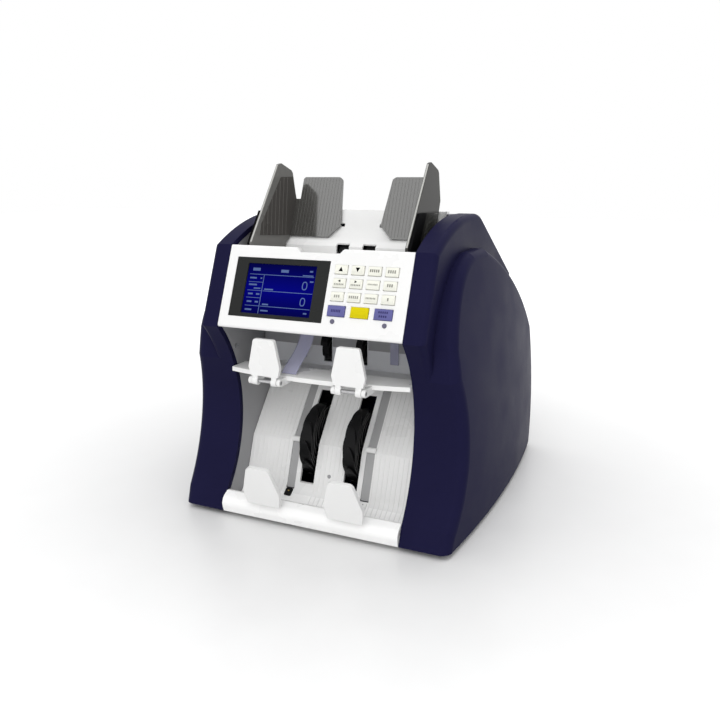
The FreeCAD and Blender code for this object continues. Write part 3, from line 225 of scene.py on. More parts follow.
finishes = {
    "navy_plastic": {"colour": (0.0105, 0.0099, 0.037), "roughness": 0.42, "grainScale": 2600.0, "bump": 0.16,
                     "spread": 0.06, "dust": 0.002, "sockets": {"Specular IOR Level": 0.026}},
    "navy_metal": {"colour": (0.012, 0.011, 0.042), "roughness": 0.38, "grainScale": 1800.0, "bump": 0.12,
                   "dust": 0.006, "sockets": {"Specular IOR Level": 0.18}},
    "grey_metal": {"colour": (0.30, 0.30, 0.31), "roughness": 0.42, "grainScale": 1500.0, "bump": 0.1},
    "pale_metal": {"colour": (0.70, 0.71, 0.74), "roughness": 0.45, "grainScale": 1500.0, "bump": 0.08},
    "white_plastic": {"colour": (0.80, 0.80, 0.795), "roughness": 0.30, "grainScale": 2200.0, "bump": 0.06,
                      "spread": 0.012},
    # a lighter copy of the white plastic for the front lip: painted light
    "lit_white_plastic": {"colour": (0.92, 0.92, 0.915), "roughness": 0.28, "grainScale": 2200.0, "bump": 0.04,
                       "spread": 0.01},
    "ivory_keys": {"colour": (0.80, 0.80, 0.72), "roughness": 0.5, "grainScale": 2400.0, "bump": 0.12,
                   "spread": 0.02},
    "lavender_keys": {"colour": (0.115, 0.115, 0.30), "roughness": 0.5, "grainScale": 2400.0, "bump": 0.12,
                      "spread": 0.03, "sockets": {"Specular IOR Level": 0.2}},
    "yellow_key": {"colour": (0.64, 0.54, 0.0015), "roughness": 0.55, "grainScale": 2400.0, "bump": 0.12,
                   "spread": 0.03, "sockets": {"Specular IOR Level": 0.12}},
    "lamp_lens": {"colour": (0.105, 0.10, 0.155), "roughness": 0.2, "grainScale": 1200.0, "bump": 0.02,
                  "sockets": {"Coat Weight": 0.2}},
    "bezel_plastic": {"colour": (0.019, 0.020, 0.0195), "roughness": 0.26, "grainScale": 2000.0, "bump": 0.03,
                      "sockets": {"Specular IOR Level": 0.1}},
    "smoked_plastic": {"colour": (0.152, 0.150, 0.143), "roughness": 0.12, "grainScale": 400.0, "bump": 0.0,
                       "vary": 0.02, "sockets": {"IOR": 1.15}},
    # a darker copy of the smoked plastic for the right side guide: painted shade
    "smoked_painted_shade": {"colour": (0.052, 0.051, 0.048), "roughness": 0.12, "grainScale": 400.0, "bump": 0.0,
                   "vary": 0.02, "sockets": {"IOR": 1.15}},
    # dark patch and its ribs on the guides' inner faces: painted reflection of the ribbed back plates
    "painted_reflection": {"colour": (0.068, 0.064, 0.060), "roughness": 0.3, "grainScale": 900.0, "bump": 0.0,
                     "sockets": {"IOR": 1.12}},
    "painted_reflection_rib": {"colour": (0.115, 0.109, 0.103), "roughness": 0.3, "grainScale": 900.0, "bump": 0.0,
                  "sockets": {"IOR": 1.2}},
    "smoked_rib": {"colour": (0.125, 0.123, 0.118), "roughness": 0.45, "grainScale": 900.0, "bump": 0.02,
                   "sockets": {"Specular IOR Level": 0.3}},
    "groove_band": {"colour": (0.36, 0.36, 0.365), "roughness": 0.4, "grainScale": 900.0, "bump": 0.05},
    "black_plastic": {"colour": (0.005, 0.005, 0.005), "roughness": 0.45, "grainScale": 1800.0, "bump": 0.12,
                      "sockets": {"Specular IOR Level": 0.14}},
    "smoked_plate": {"colour": (0.060, 0.059, 0.055), "roughness": 0.10, "grainScale": 400.0, "bump": 0.0,
                     "vary": 0.02, "sockets": {"IOR": 2.7, "Alpha": 0.95}},
    # pale grey for the beads on the guides' front edges: painted highlight
    "edge_painted_highlight": {"colour": (0.42, 0.42, 0.40), "roughness": 0.18, "grainScale": 600.0, "bump": 0.0},
    "acetal": {"colour": (0.72, 0.72, 0.68), "roughness": 0.4, "grainScale": 1500.0, "bump": 0.05},
    "black_rubber": {"colour": (0.006, 0.006, 0.0065), "roughness": 0.62, "grainScale": 1400.0, "bump": 0.25,
                     "spread": 0.12, "dust": 0.006, "sockets": {"Specular IOR Level": 0.18}},
    "wheel_rubber": {"colour": (0.0035, 0.0035, 0.004), "roughness": 0.34, "grainScale": 1400.0, "bump": 0.1,
                     "spread": 0.12, "sockets": {"Specular IOR Level": 0.16}},
    "matt_black": {"colour": (0.004, 0.004, 0.0045), "roughness": 0.6, "grainScale": 1800.0, "bump": 0.1,
                   "sockets": {"Specular IOR Level": 0.03}},
    "motor_metal": {"colour": (0.10, 0.105, 0.11), "roughness": 0.4, "grainScale": 1200.0, "bump": 0.1,
                    "sockets": {"Metallic": 0.6}},
}
materials = {name: finish(name + "_finish", spec) for name, spec in finishes.items()}


# bare metal: noise varies colour and gloss, and stretched along the shafts it gives brushed lines
def metalFinish(name, spec):
    material, tree, shader = newMaterial(name)
    mapping = addNode(tree, "ShaderNodeMapping", Scale=spec["stretch"])
    noise = addNode(tree, "ShaderNodeTexNoise", Scale=spec["scale"])
    tree.links.new(objectCoords(tree), mapping.inputs[0])
    tree.links.new(mapping.outputs[0], noise.inputs["Vector"])
    gloss = mapRange(tree, noise.outputs[0], *noiseSpan, *spec["roughness"])
    tree.links.new(gloss, shader.inputs["Roughness"])
    tree.links.new(mixColour(tree, noise.outputs[0], *spec["colours"]), shader.inputs["Base Color"])
    shader.inputs["Metallic"].default_value = 1.0
    return material


materials["steel"] = metalFinish("steel_finish", {
    "stretch": (1.0, 40.0, 40.0), "scale": 60.0, "roughness": (0.22, 0.38),
    "colours": ((0.42, 0.42, 0.43), (0.58, 0.58, 0.59))})
materials["brass"] = metalFinish("brass_finish", {
    "stretch": (1.0, 1.0, 1.0), "scale": 400.0, "roughness": (0.2, 0.35),
    "colours": ((0.50, 0.36, 0.10), (0.68, 0.50, 0.16))})


# circuit board: a fine brick pattern of paler tracks on green
def boardFinish(spec):
    material, tree, shader = newMaterial("board_finish")
    bricks = addNode(tree, "ShaderNodeTexBrick", Scale=spec["scale"])
    setSockets(bricks, {label: (*colour, 1.0) for label, colour in spec["colours"].items()})
    tree.links.new(objectCoords(tree), bricks.inputs["Vector"])
    tree.links.new(bricks.outputs[0], shader.inputs["Base Color"])
    shader.inputs["Roughness"].default_value = spec["roughness"]
    return material


materials["circuit_board"] = boardFinish({"scale": 60.0, "roughness": 0.35, "colours": {
    "Color1": (0.012, 0.10, 0.04), "Color2": (0.010, 0.08, 0.03), "Mortar": (0.03, 0.17, 0.07)}})


# display: deep blue glow that fades towards its edges
def displayFinish(spec):
    material, tree, shader = newMaterial("display_finish")
    mapping = addNode(tree, "ShaderNodeMapping", Location=spec["shift"], Scale=spec["stretch"])
    ball = tree.nodes.new("ShaderNodeTexGradient")
    ball.gradient_type = "SPHERICAL"
    tree.links.new(objectCoords(tree), mapping.inputs[0])
    tree.links.new(mapping.outputs[0], ball.inputs[0])
    glow = mixColour(tree, ball.outputs[1], spec["edge"], spec["middle"])
    tree.links.new(glow, shader.inputs["Emission Color"])
    shader.inputs["Base Color"].default_value = (*spec["unlit"], 1.0)
    setSockets(shader, spec["sockets"])
    return material


displayLow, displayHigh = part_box("lcd_panel")
displayMiddle = (displayLow + displayHigh) / 2
displayStretch = (4.0, 12.0, 30.0)
materials["display_face"] = displayFinish({
    "stretch": displayStretch, "shift": tuple(-np.array(displayStretch) * displayMiddle),
    "unlit": (0.0004, 0.0004, 0.003), "edge": (0.0, 0.0002, 0.022), "middle": (0.0001, 0.0006, 0.195),
    "sockets": {"Emission Strength": 1.0, "Roughness": 0.12, "Specular IOR Level": 0.012}})


# film: thin lavender sheet that lets the light through
def filmFinish(spec):
    material, tree, shader = newMaterial("film_finish")
    grain = placeGroup(tree, grainTree, {"Scale": spec["grainScale"], "Roughness": spec["roughness"]})
    tree.links.new(multiply(tree, spec["colour"], grain.outputs["Tone"]), shader.inputs["Base Color"])
    tree.links.new(grain.outputs["Roughness"], shader.inputs["Roughness"])
    shader.inputs["Alpha"].default_value = spec["alpha"]
    return material


materials["soft_film"] = filmFinish({
    "colour": (0.50, 0.50, 0.68), "alpha": 0.5, "grainScale": 300.0, "roughness": 0.18})


# hopper tray: white plastic, with end cheeks of clear smoked sheet past the given half width
def trayFinish(spec):
    material = finish("tray_finish", finishes["white_plastic"])
    tree = material.node_tree
    shader = tree.nodes["Principled BSDF"]
    split = tree.nodes.new("ShaderNodeSeparateXYZ")
    tree.links.new(objectCoords(tree), split.inputs[0])
    outward = maths(tree, "ABSOLUTE", split.outputs[0], 0.0)
    cheek = mapRange(tree, outward, spec["half"] - spec["blend"], spec["half"], 0.0, 1.0)
    white = shader.inputs["Base Color"].links[0].from_socket
    tree.links.new(mixColour(tree, cheek, white, spec["colour"]), shader.inputs["Base Color"])
    tree.links.new(mapRange(tree, cheek, 0.0, 1.0, 1.0, spec["alpha"]), shader.inputs["Alpha"])
    return material


materials["clear_cheek_tray"] = trayFinish({
    "half": 0.1009, "blend": 0.0001, "colour": (0.04, 0.042, 0.036), "alpha": 0.2})
# the front lip takes a lighter copy of the white plastic as painted light
# the right side guide takes a darker copy of the smoked plastic as painted shade
ownFinish = {
    "front_lip": "lit_white_plastic", "hopper_tray": "clear_cheek_tray", "reject_back_wall": "pale_metal",
    "right_side_guide": "smoked_painted_shade", "left_back_plate": "smoked_plate", "right_back_plate": "smoked_plate",
    "left_guide_bracket": "matt_black", "right_guide_bracket": "matt_black"}
for node, item in frame["nodes"].items():
    for holder in item.material_slots:
        holder.material = materials[ownFinish.get(node, slotOf[node])]
print("finishes set:", len(materials))


# angles of one full turn
def turns(count):
    return np.linspace(0.0, 2 * math.pi, count, endpoint=False)


# low dome: r = R cos b and height = flat R sin b while b runs over the span
def dome(spec):
    rise = np.linspace(*spec["span"], spec["rings"])[:, None]
    turn = turns(spec["sides"])[None]
    ring = spec["radius"] * np.cos(rise)
    return ring * np.cos(turn), ring * np.sin(turn), spec["flat"] * spec["radius"] * np.sin(rise)


# quads of a grid of points; wrap joins the last row or column to the first
def gridFaces(rows, columns, wrapRows=False, wrapColumns=False):
    index = np.arange(rows * columns).reshape(rows, columns)
    down = np.roll(index, -1, 0) if wrapRows else index[1:]
    index = index if wrapRows else index[:-1]
    if not wrapColumns:
        a, b, c, d = index[:, :-1], index[:, 1:], down[:, 1:], down[:, :-1]
    else:
        a, b, c, d = index, np.roll(index, -1, 1), np.roll(down, -1, 1), down
    return np.stack([a, b, c, d], -1).reshape(-1, 4)


smoothAngle = 40.0


def placed(mesh, name, body, finishName):
    mesh.materials.clear()
    mesh.materials.append(materials[finishName])
    mesh.polygons.foreach_set("use_smooth", np.full(len(mesh.polygons), True))
    mesh.set_sharp_from_angle(angle=math.radians(smoothAngle))
    item = bpy.data.objects.new(name, mesh)
    bpy.context.scene.collection.objects.link(item)
    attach(item, body)
    return item


def piece(name, points, faces, body, finishName):
    mesh = bpy.data.meshes.new(name)
    faces = faces if isinstance(faces, list) else faces.tolist()
    mesh.from_pydata(np.asarray(points, float).reshape(-1, 3).tolist(), [], faces)
    work = bmesh.new()
    work.from_mesh(mesh)
    bmesh.ops.recalc_face_normals(work, faces=work.faces)
    work.to_mesh(mesh)
    work.free()
    return placed(mesh, name, body, finishName)


# closed bars: a ring of points carried along each bar, with both ends capped
def tubeFaces(count, steps, sides):
    index = np.arange(steps * sides).reshape(steps, sides)
    turned = np.roll(index, -1, 1)
    skin = np.stack([index[:-1], turned[:-1], turned[1:], index[1:]], -1).reshape(-1, 4)
    caps = np.stack([index[0][::-1], index[-1]])
    faces = []
    for first in index.size * np.arange(count):
        faces += (skin + first).tolist() + (caps + first).tolist()
    return faces


longEdges = {"front_lip": {"places": ((-3.0, 9.855), (0.5, 17.52)), "width": 2.9, "segments": 6}}
soft = {"weld": 1e-6, "flat": 0.5, "angle": 35.0, "near": 3e-4}


# edges that run the whole width at the given depths and heights get a bevel weight
def weighLongEdges(mesh, spec):
    spots, ends = np.empty(3 * len(mesh.vertices)), np.empty(2 * len(mesh.edges), np.int32)
    mesh.vertices.foreach_get("co", spots)
    mesh.edges.foreach_get("vertices", ends)
    ends = spots.reshape(-1, 3)[ends.reshape(-1, 2), 1:]
    places = np.array([metres(0.0, y, z)[1:] for y, z in spec["places"]])
    far = np.abs(ends[:, None] - places[None, :, None]).max((2, 3)).min(1)
    weight = mesh.attributes.new("bevel_weight_edge", "FLOAT", "EDGE")
    weight.data.foreach_set("value", (far < soft["near"]).astype(np.float32))


# softened copy of a solid: triangles welded, flat neighbours joined, edges rounded by a bevel
def softened(node, body, width, segments=3):
    work = bmesh.new()
    work.from_mesh(frame["nodes"][node].data)
    bmesh.ops.remove_doubles(work, verts=work.verts, dist=soft["weld"])
    bmesh.ops.dissolve_limit(work, angle_limit=math.radians(soft["flat"]), verts=work.verts, edges=work.edges)
    mesh = bpy.data.meshes.new(node + "_soft")
    work.to_mesh(mesh)
    work.free()
    item = placed(mesh, node + "_soft", body, ownFinish.get(node, slotOf[node]))
    if node in longEdges:
        weighLongEdges(mesh, longEdges[node])
        swell = item.modifiers.new("rolled", "BEVEL")
        swell.width = longEdges[node]["width"] / 1000.0
        swell.segments = longEdges[node]["segments"]
        swell.limit_method = "WEIGHT"
    bevel = item.modifiers.new("rounded", "BEVEL")
    bevel.width = width / 1000.0
    bevel.segments = segments
    bevel.limit_method = "ANGLE"
    bevel.angle_limit = math.radians(soft["angle"])
    bevel.harden_normals = True
    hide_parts(node)


# many flat bars at once: each row of the table is centre u, v and half sizes, lifted off a plane
def barPoints(table, plane, base, lift):
    table = np.asarray(table, float)
    corners = np.array([[-1, -1], [1, -1], [1, 1], [-1, 1]], float)
    flat = (table[:, None, :2] + corners[None] * table[:, None, 2:4])[:, None]
    out = np.array([base, base + lift]).reshape(1, 2, 1)
    return onSlope(plane, flat[..., 0], flat[..., 1], out)


def barFaces(count):
    one = np.array([[4, 5, 6, 7], [0, 3, 2, 1], [0, 1, 5, 4], [1, 2, 6, 5], [2, 3, 7, 6], [3, 0, 4, 7]])
    return (one[None] + 8 * np.arange(count)[:, None, None]).reshape(-1, 4)


ribSunk = 0.06


# half-round rib: across = w/2 cos a, rise = h sin a, with a flat foot just under the surface
def ribRing(width, height, sides):
    angle = np.linspace(0.0, math.pi, sides)
    return width / 2 * np.cos(angle), height * np.sin(angle) - ribSunk


chute = {"start": (35.6, 6.93), "bend": (46.0, 14.34), "corner": (50.62, 17.63), "rise": (53.0, 24.05),
         "fold": (70.2, 70.5), "top": (135.5, 148.0), "lowMarks": (0.25, 0.5, 0.75, 0.965),
         "highMarks": (0.018, 0.25, 0.5, 0.75, 1.0)}
chuteRib = {"spans": ((-103.0, -54.5), (-17.5, 17.5), (54.5, 103.0)), "pitch": 5.6, "width": 1.2,
            "height": 0.5, "sides": 7, "bendSteps": 7, "slack": 0.1}
foot = {"spans": ((-107.3, -52.9), (-42.1, 42.1), (52.9, 107.3)), "heel": (51.3, 17.2), "bendSteps": 9}
groove = {"x": 47.5, "wide": 10.0, "low": (51.1, 18.9), "out": (-1.5, -0.9)}
grooveBar = {"reach": 6.2, "wide": 1.9, "tall": 3.0, "lean": 0.3, "out": 0.5, "up": 2.2, "sides": 20}
eye = {"at": (58.0, 37.5), "radius": 2.3, "flat": 0.4, "span": (-0.2, 1.35), "rings": 6, "sides": 20}


# chute curve: quadratic round the corner, (1-t)^2 a + 2t(1-t) b + t^2 c
def chuteBend(count):
    t = np.linspace(0.0, 1.0, count)[:, None]
    a, b, c = (np.array(chute[key]) for key in ("bend", "corner", "rise"))
    return (1 - t) ** 2 * a + 2 * t * (1 - t) * b + t ** 2 * c


# straight runs up the chute, with close points at the fold to round it a little
def chuteRuns():
    low, fold, top = (np.array(chute[key]) for key in ("rise", "fold", "top"))
    first = low + (fold - low) * np.array(chute["lowMarks"])[:, None]
    last = fold + (top - fold) * np.array(chute["highMarks"])[:, None]
    return np.concatenate([first, last])


# points off a path by out along its front normal, for each offset across
def offPath(path, across, out):
    step = np.gradient(path, axis=0)
    step /= np.linalg.norm(step, axis=1)[:, None]
    y = path[:, 0][:, None] - step[:, 1][:, None] * out[None]
    z = path[:, 1][:, None] + step[:, 0][:, None] * out[None]
    return metres(across[..., None, :], y, z)


# chute ribs: half-round ribs side by side up the whole chute
def chuteRibs():
    side, rise = ribRing(chuteRib["width"], chuteRib["height"], chuteRib["sides"])
    path = np.concatenate([[chute["start"]], chuteBend(chuteRib["bendSteps"]), chuteRuns()])
    across = np.concatenate([np.arange(low, high + chuteRib["slack"], chuteRib["pitch"])
                             for low, high in chuteRib["spans"]])
    points = offPath(path, across[:, None] + side[None], rise)
    piece("chute_ribs", points, tubeFaces(len(across), len(path), len(side)), "machine", "white_plastic")
    print("chute ribs:", len(across))


# chute foot: fills the corner under the curve between lip and chute, left open at the two sensors
def chuteFoot():
    path = np.concatenate([chuteBend(foot["bendSteps"]), [foot["heel"]]])
    spans = np.array(foot["spans"])
    points = metres(spans[:, :, None], path[:, 0], path[:, 1])
    piece("chute_foot", points, tubeFaces(len(spans), 2, len(path)), "machine", "white_plastic")


# groove strips: a flat band laid in each sensor groove, and a leaning oval bar over it at the fold
def chuteGrooves():
    path = np.concatenate([[groove["low"]], chuteRuns()])
    half, (low, high) = groove["wide"] / 2, groove["out"]
    middle = groove["x"] * mirror[:, None]
    across = middle + np.array([[-half, half, half, -half]])
    points = offPath(path, across, np.array([low, low, high, high]))
    piece("groove_strips", points, tubeFaces(2, len(path), 4), "machine", "groove_band")
    angle, (y, z) = turns(grooveBar["sides"]), chute["fold"]
    tall = grooveBar["tall"] * np.sin(angle)
    y = y + grooveBar["out"] + grooveBar["wide"] * np.cos(angle) + grooveBar["lean"] * tall
    ends = middle + grooveBar["reach"] * mirror[None]
    points = metres(ends[:, :, None], y, z + grooveBar["up"] + tall)
    piece("groove_bars", points, tubeFaces(2, 2, len(angle)), "machine", "white_plastic")


sensor = {"x": 47.5, "middle": (46.3, 14.77), "slope": 35.5, "halfWide": 4.5, "halfLong": 5.0,
          "levels": (-0.6, 0.9, 1.3), "shrink": (1.0, 1.0, 0.94), "power": 8, "sides": 40}
lens = {"along": 1.2, "radius": 0.9, "flat": 0.7, "span": (-0.3, 1.35), "rings": 7, "sides": 20}


# a point on the trough: along runs up its slope, out stands off it
def onTrough(x, along, out):
    turn, (y, z) = math.radians(sensor["slope"]), sensor["middle"]
    y = y + along * math.cos(turn) - out * math.sin(turn)
    return metres(x, y, z + along * math.sin(turn) + out * math.cos(turn))


# sensor windows: a superellipse plate, |x/a|^8 + |y/b|^8 = 1, drawn in at its top edge, with a low dome lens
def sensorWindow(side, plateFinish, lensFinish):
    middle, power, angle = sideSign[side] * sensor["x"], sensor["power"], turns(sensor["sides"])
    reach = (np.abs(np.cos(angle)) ** power + np.abs(np.sin(angle)) ** power) ** (1 / power)
    shrink, level = np.array(sensor["shrink"])[:, None], np.array(sensor["levels"])[:, None]
    across = sensor["halfWide"] * np.cos(angle) / reach * shrink
    points = onTrough(middle + across, sensor["halfLong"] * np.sin(angle) / reach * shrink, level)
    item = piece(side + "_sensor_window", points, tubeFaces(1, len(level), len(angle)), "machine",
                 plateFinish)
    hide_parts("stack_sensors")
    across, along, height = dome(lens)
    points = onTrough(middle + across, lens["along"] + along, sensor["levels"][-1] + height)
    piece(side + "_sensor_lens", points, tubeFaces(1, lens["rings"], lens["sides"]), "machine",
          lensFinish)


# eye: a low dome on the chute face between the wheels
def chuteEye():
    across, along, out = dome(eye)
    run = np.array(chute["fold"]) - np.array(chute["rise"])
    run /= np.linalg.norm(run)
    y, z = eye["at"]
    points = metres(across, y + run[0] * along - run[1] * out, z + run[1] * along + run[0] * out)
    piece("chute_eye", points, tubeFaces(1, eye["rings"], eye["sides"]), "machine", "grey_metal")


chuteRibs()
chuteFoot()
chuteEye()
chuteGrooves()
sensorWindow("left", "black_plastic", "brass")
sensorWindow("right", "white_plastic", "steel")

pocket = {"wall": 104.45, "top": 226.0, "shadeStandoff": 1.6, "shadeLow": 180.5, "shadeCut": 0.6,
          "spans": ((-107.0, -30.0), (-15.5, 15.5), (30.0, 107.0)),
          "tabs": ((57.6, 67.6, 167.0), (-57.5, -49.5, 166.0)), "tabOut": (2.2, 3.0)}


# reject pocket: dark grey plates down the upper back wall as painted shade under the panel, and two tabs hung
# in front of them
def pocketPlates():
    spans = np.array(pocket["spans"])
    y = pocket["wall"] - np.array([0.0, pocket["shadeStandoff"], pocket["shadeStandoff"], 0.0])
    z = np.array([pocket["shadeLow"], pocket["shadeLow"] + pocket["shadeCut"], pocket["top"], pocket["top"]])
    piece("pocket_painted_shade", metres(spans[:, :, None], y, z), tubeFaces(len(spans), 2, 4), "machine",
          "grey_metal")
    tabs = np.array(pocket["tabs"])
    near, far = pocket["tabOut"]
    y = pocket["wall"] - np.array([near, far, far, near])
    low = tabs[:, 2][:, None, None]
    z = low + np.array([0.0, 0.0, 1.0, 1.0]) * (pocket["top"] - low)
    piece("pocket_tabs", metres(tabs[:, :2, None], y, z), tubeFaces(len(tabs), 2, 4), "machine", "soft_film")


pocketPlates()
print("pockets dressed")

rearFace = 375.5
louvre = {"x": -48.0, "halfLong": 34.0, "lowest": 92.0, "count": 12, "pitch": 9.0, "out": 2.3, "tall": 5.2,
          "steps": 7, "taper": 3.0, "sunk": -0.3, "slot": 2.0, "slotOut": 0.15}
screw = {"spots": ((-98.0, 16.0), (98.0, 16.0), (-98.0, 232.0), (98.0, 232.0)), "radius": 3.6, "flat": 0.55,
         "span": (-0.1, 1.45), "rings": 8, "sides": 28, "recess": (2.1, 0.45), "recessOut": (1.2, 2.06)}


# louvres: out = reach (1 - (z/tall)^2) down to an open lower edge, with a black strip under each as painted
# shade of the slot
def rearLouvres():
    middle = louvre["lowest"] + louvre["pitch"] * np.arange(louvre["count"])[:, None, None]
    drop, sunk = np.linspace(1.0, 0.0, louvre["steps"]), louvre["sunk"]
    out = np.concatenate([louvre["out"] * (1 - drop ** 2), [sunk, sunk]])
    rise = np.concatenate([louvre["tall"] * drop, [0.0, louvre["tall"]]])
    taper = np.concatenate([drop ** 2, [0.0, 1.0]]) * louvre["taper"]
    ends = louvre["x"] + mirror[:, None] * (louvre["halfLong"] - taper)
    piece("rear_louvres", metres(ends, rearFace + out, middle + rise),
          tubeFaces(louvre["count"], 2, len(out)), "machine", "navy_metal")
    y = rearFace + np.array([sunk, louvre["slotOut"], louvre["slotOut"], sunk])
    z = middle - np.array([0.0, 0.0, louvre["slot"], louvre["slot"]])
    ends = louvre["x"] + mirror[:, None] * louvre["halfLong"]
    piece("rear_slot_shade", metres(ends, y, z), tubeFaces(louvre["count"], 2, 4), "machine", "black_plastic")


# pan heads: a low dome each, with two thin black bars crossed on top as painted shade of the recess
def rearScrews():
    spots = np.array(screw["spots"])[:, :, None, None]
    across, along, out = dome(screw)
    piece("rear_screws", metres(spots[:, 0] + across, rearFace + out, spots[:, 1] + along),
          tubeFaces(len(spots), screw["rings"], screw["sides"]), "machine", "steel")
    half = np.array([screw["recess"], screw["recess"][::-1]])
    x = (spots[:, 0] + half[:, 0][:, None] * mirror).reshape(-1, 2, 1)
    z = (spots[:, 1] + half[:, 1][:, None] * np.array([-1.0, -1.0, 1.0, 1.0])).reshape(-1, 1, 4)
    low, high = screw["recessOut"]
    y = rearFace + np.array([low, high, high, low])
    piece("screw_recess_shade", metres(x, y, z), tubeFaces(2 * len(spots), 2, 4), "machine", "black_plastic")


rearLouvres()
rearScrews()
print("rear dressed")

wheel = {"y": 94.0, "z": 66.7, "x": 27.5, "width": 15.4, "bore": 4.0, "hub": 15.0, "radius": 44.9}
fin = {"count": 12, "sweep": 150.0, "bend": 0.4, "phase": 16.5, "tongue": 0.77, "bow": 0.94, "crowd": 1.6,
       "root": 2.6, "tip": 1.1, "sunk": 1.5, "steps": 14}
hub = {"over": 0.4, "soft": 0.8, "sides": 48}


# fin: r = hub + (radius - hub) t^bend while the angle grows by sweep t, and the wall thins to the tip;
# past the tongue mark its width falls off as a quarter ellipse, cos p against t = tongue + (1 - tongue) sin p
def wheelFins():
    bow = np.linspace(0.0, fin["bow"] * math.pi / 2, fin["steps"])
    t = np.concatenate([np.linspace(0.0, 1.0, fin["steps"])[:-1] ** fin["crowd"] * fin["tongue"],
                        fin["tongue"] + (1 - fin["tongue"]) * np.sin(bow)])
    half = wheel["width"] / 2 * np.concatenate([np.ones(fin["steps"] - 1), np.cos(bow)])
    start, sweep = wheel["hub"] - fin["sunk"], math.radians(fin["sweep"])
    reach = start + (wheel["radius"] - fin["tip"] / 2 - start) * t ** fin["bend"]
    slope = np.stack([np.gradient(reach, t), reach * sweep])
    slope /= np.linalg.norm(slope, axis=0)
    wall = (fin["root"] + (fin["tip"] - fin["root"]) * t) / 2
    wall = wall[:, None] * np.array([-1.0, 1.0, 1.0, -1.0])
    radial = reach[:, None] - slope[1][:, None] * wall
    angle = math.radians(fin["phase"]) + sweep * t[:, None] + slope[0][:, None] * wall / reach[:, None]
    angle = angle[None] + turns(fin["count"])[:, None, None]
    across = half[:, None] * np.array([-1.0, -1.0, 1.0, 1.0])
    points = metres(wheel["x"] * mirror[:, None, None, None] + across, wheel["y"] - radial * np.cos(angle),
                    wheel["z"] + radial * np.sin(angle))
    item = piece("stacker_fins", points, tubeFaces(2 * fin["count"], len(t), 4), "stacker_rotor",
                 "wheel_rubber")
    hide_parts("stacker_wheels")


# hub: a ring profile of x and r turned about the shaft
def wheelHubs():
    half, edge, bore = wheel["width"] / 2 + hub["over"], hub["soft"], wheel["bore"]
    x = np.array([-half, -half, -half + edge, half - edge, half, half])
    r = np.array([bore, wheel["hub"] - edge, wheel["hub"], wheel["hub"], wheel["hub"] - edge, bore])
    angle = turns(hub["sides"])[:, None]
    points = metres(wheel["x"] * mirror[:, None, None] + x, wheel["y"] - r * np.cos(angle),
                    wheel["z"] + r * np.sin(angle))
    ring = gridFaces(len(angle), len(x), True, True)
    piece("stacker_hubs", points, np.concatenate([ring, ring + angle.size * x.size]), "stacker_rotor",
          "black_rubber")


wheelFins()
wheelHubs()
print("stacker wheels:", fin["count"], "fins each")

plate = {"guide": 92.6, "foot": 1.5, "lowReach": 51.8, "reach": 67.0, "topReach": 60.0, "chamfer": 16.7,
         "headLow": 18.7, "inset": 8.3, "vertex": 48.5, "top": 76.5, "edge": 1.6}
plateRib = {"pitch": 4.1, "width": 0.5, "height": 0.15, "first": 1.2, "last": 3.0, "sides": 5}
guide = {"low": (53.5, 304.0), "nose": (118.0, 389.5), "bead": 2.0, "proud": 0.5, "sides": 9}
mirrorPatch = {"y": (71.4, 142.9, 160.2, 151.0, 122.5, 75.4), "z": (311.0, 305.8, 349.0, 375.5, 375.2, 323.2),
         "face": 91.1, "sunk": 0.3, "proud": 0.2, "foot": [0, 1], "head": [0, 5, 4, 3]}
mirrorPatchRib = {"first": 79.0, "last": 139.0, "pitch": 8.6, "lean": 0.12, "tall": 50.0, "width": 1.1,
            "height": 0.3, "edge": 0.7, "sides": 5}
upDown = np.array([[0.0, 1.0]])


# plate ribs: each runs from the chamfered foot to the sloping head of the plate
def plateRibs(side):
    outer, edge = plate["guide"] - plate["reach"], plate["edge"]
    across = np.arange(outer + edge + plateRib["first"], plate["guide"] - plateRib["last"], plateRib["pitch"])
    footIn, headIn = plate["guide"] - plate["lowReach"], plate["guide"] - plate["topReach"]
    low = np.interp(across, (outer, footIn), (plate["chamfer"], plate["foot"])) + edge
    high = np.interp(across, (outer, headIn), (plate["headLow"], plate["top"])) - edge
    high = np.where(across > plate["guide"] - plate["inset"], plate["vertex"] - edge, high)
    along = low[:, None] + (high - low)[:, None] * upDown
    offset, rise = ribRing(plateRib["width"], plateRib["height"], plateRib["sides"])
    points = onSlope(platePlane, sideSign[side] * across[:, None, None] + offset, along[:, :, None], rise)
    piece(side + "_plate_ribs", points, tubeFaces(len(across), 2, len(offset)), side + "_guide", "smoked_rib")


# edge bead: a half-round bead up the slanting front edge of each guide, coloured pale as a painted highlight,
# w/2 cos a across and h sin a out
def guideEdge(side):
    path = np.array([guide["low"], guide["nose"]])
    run = (path[1] - path[0]) / np.linalg.norm(path[1] - path[0])
    path = path - mirror[:, None] * run
    offset, rise = ribRing(guide["bead"], guide["proud"], guide["sides"])
    points = metres(sideSign[side] * plate["guide"] + offset, path[:, 0][:, None] - run[1] * rise,
                    path[:, 1][:, None] + run[0] * rise)
    piece(side + "_guide_bead", points, tubeFaces(1, 2, len(offset)), side + "_guide", "edge_painted_highlight")


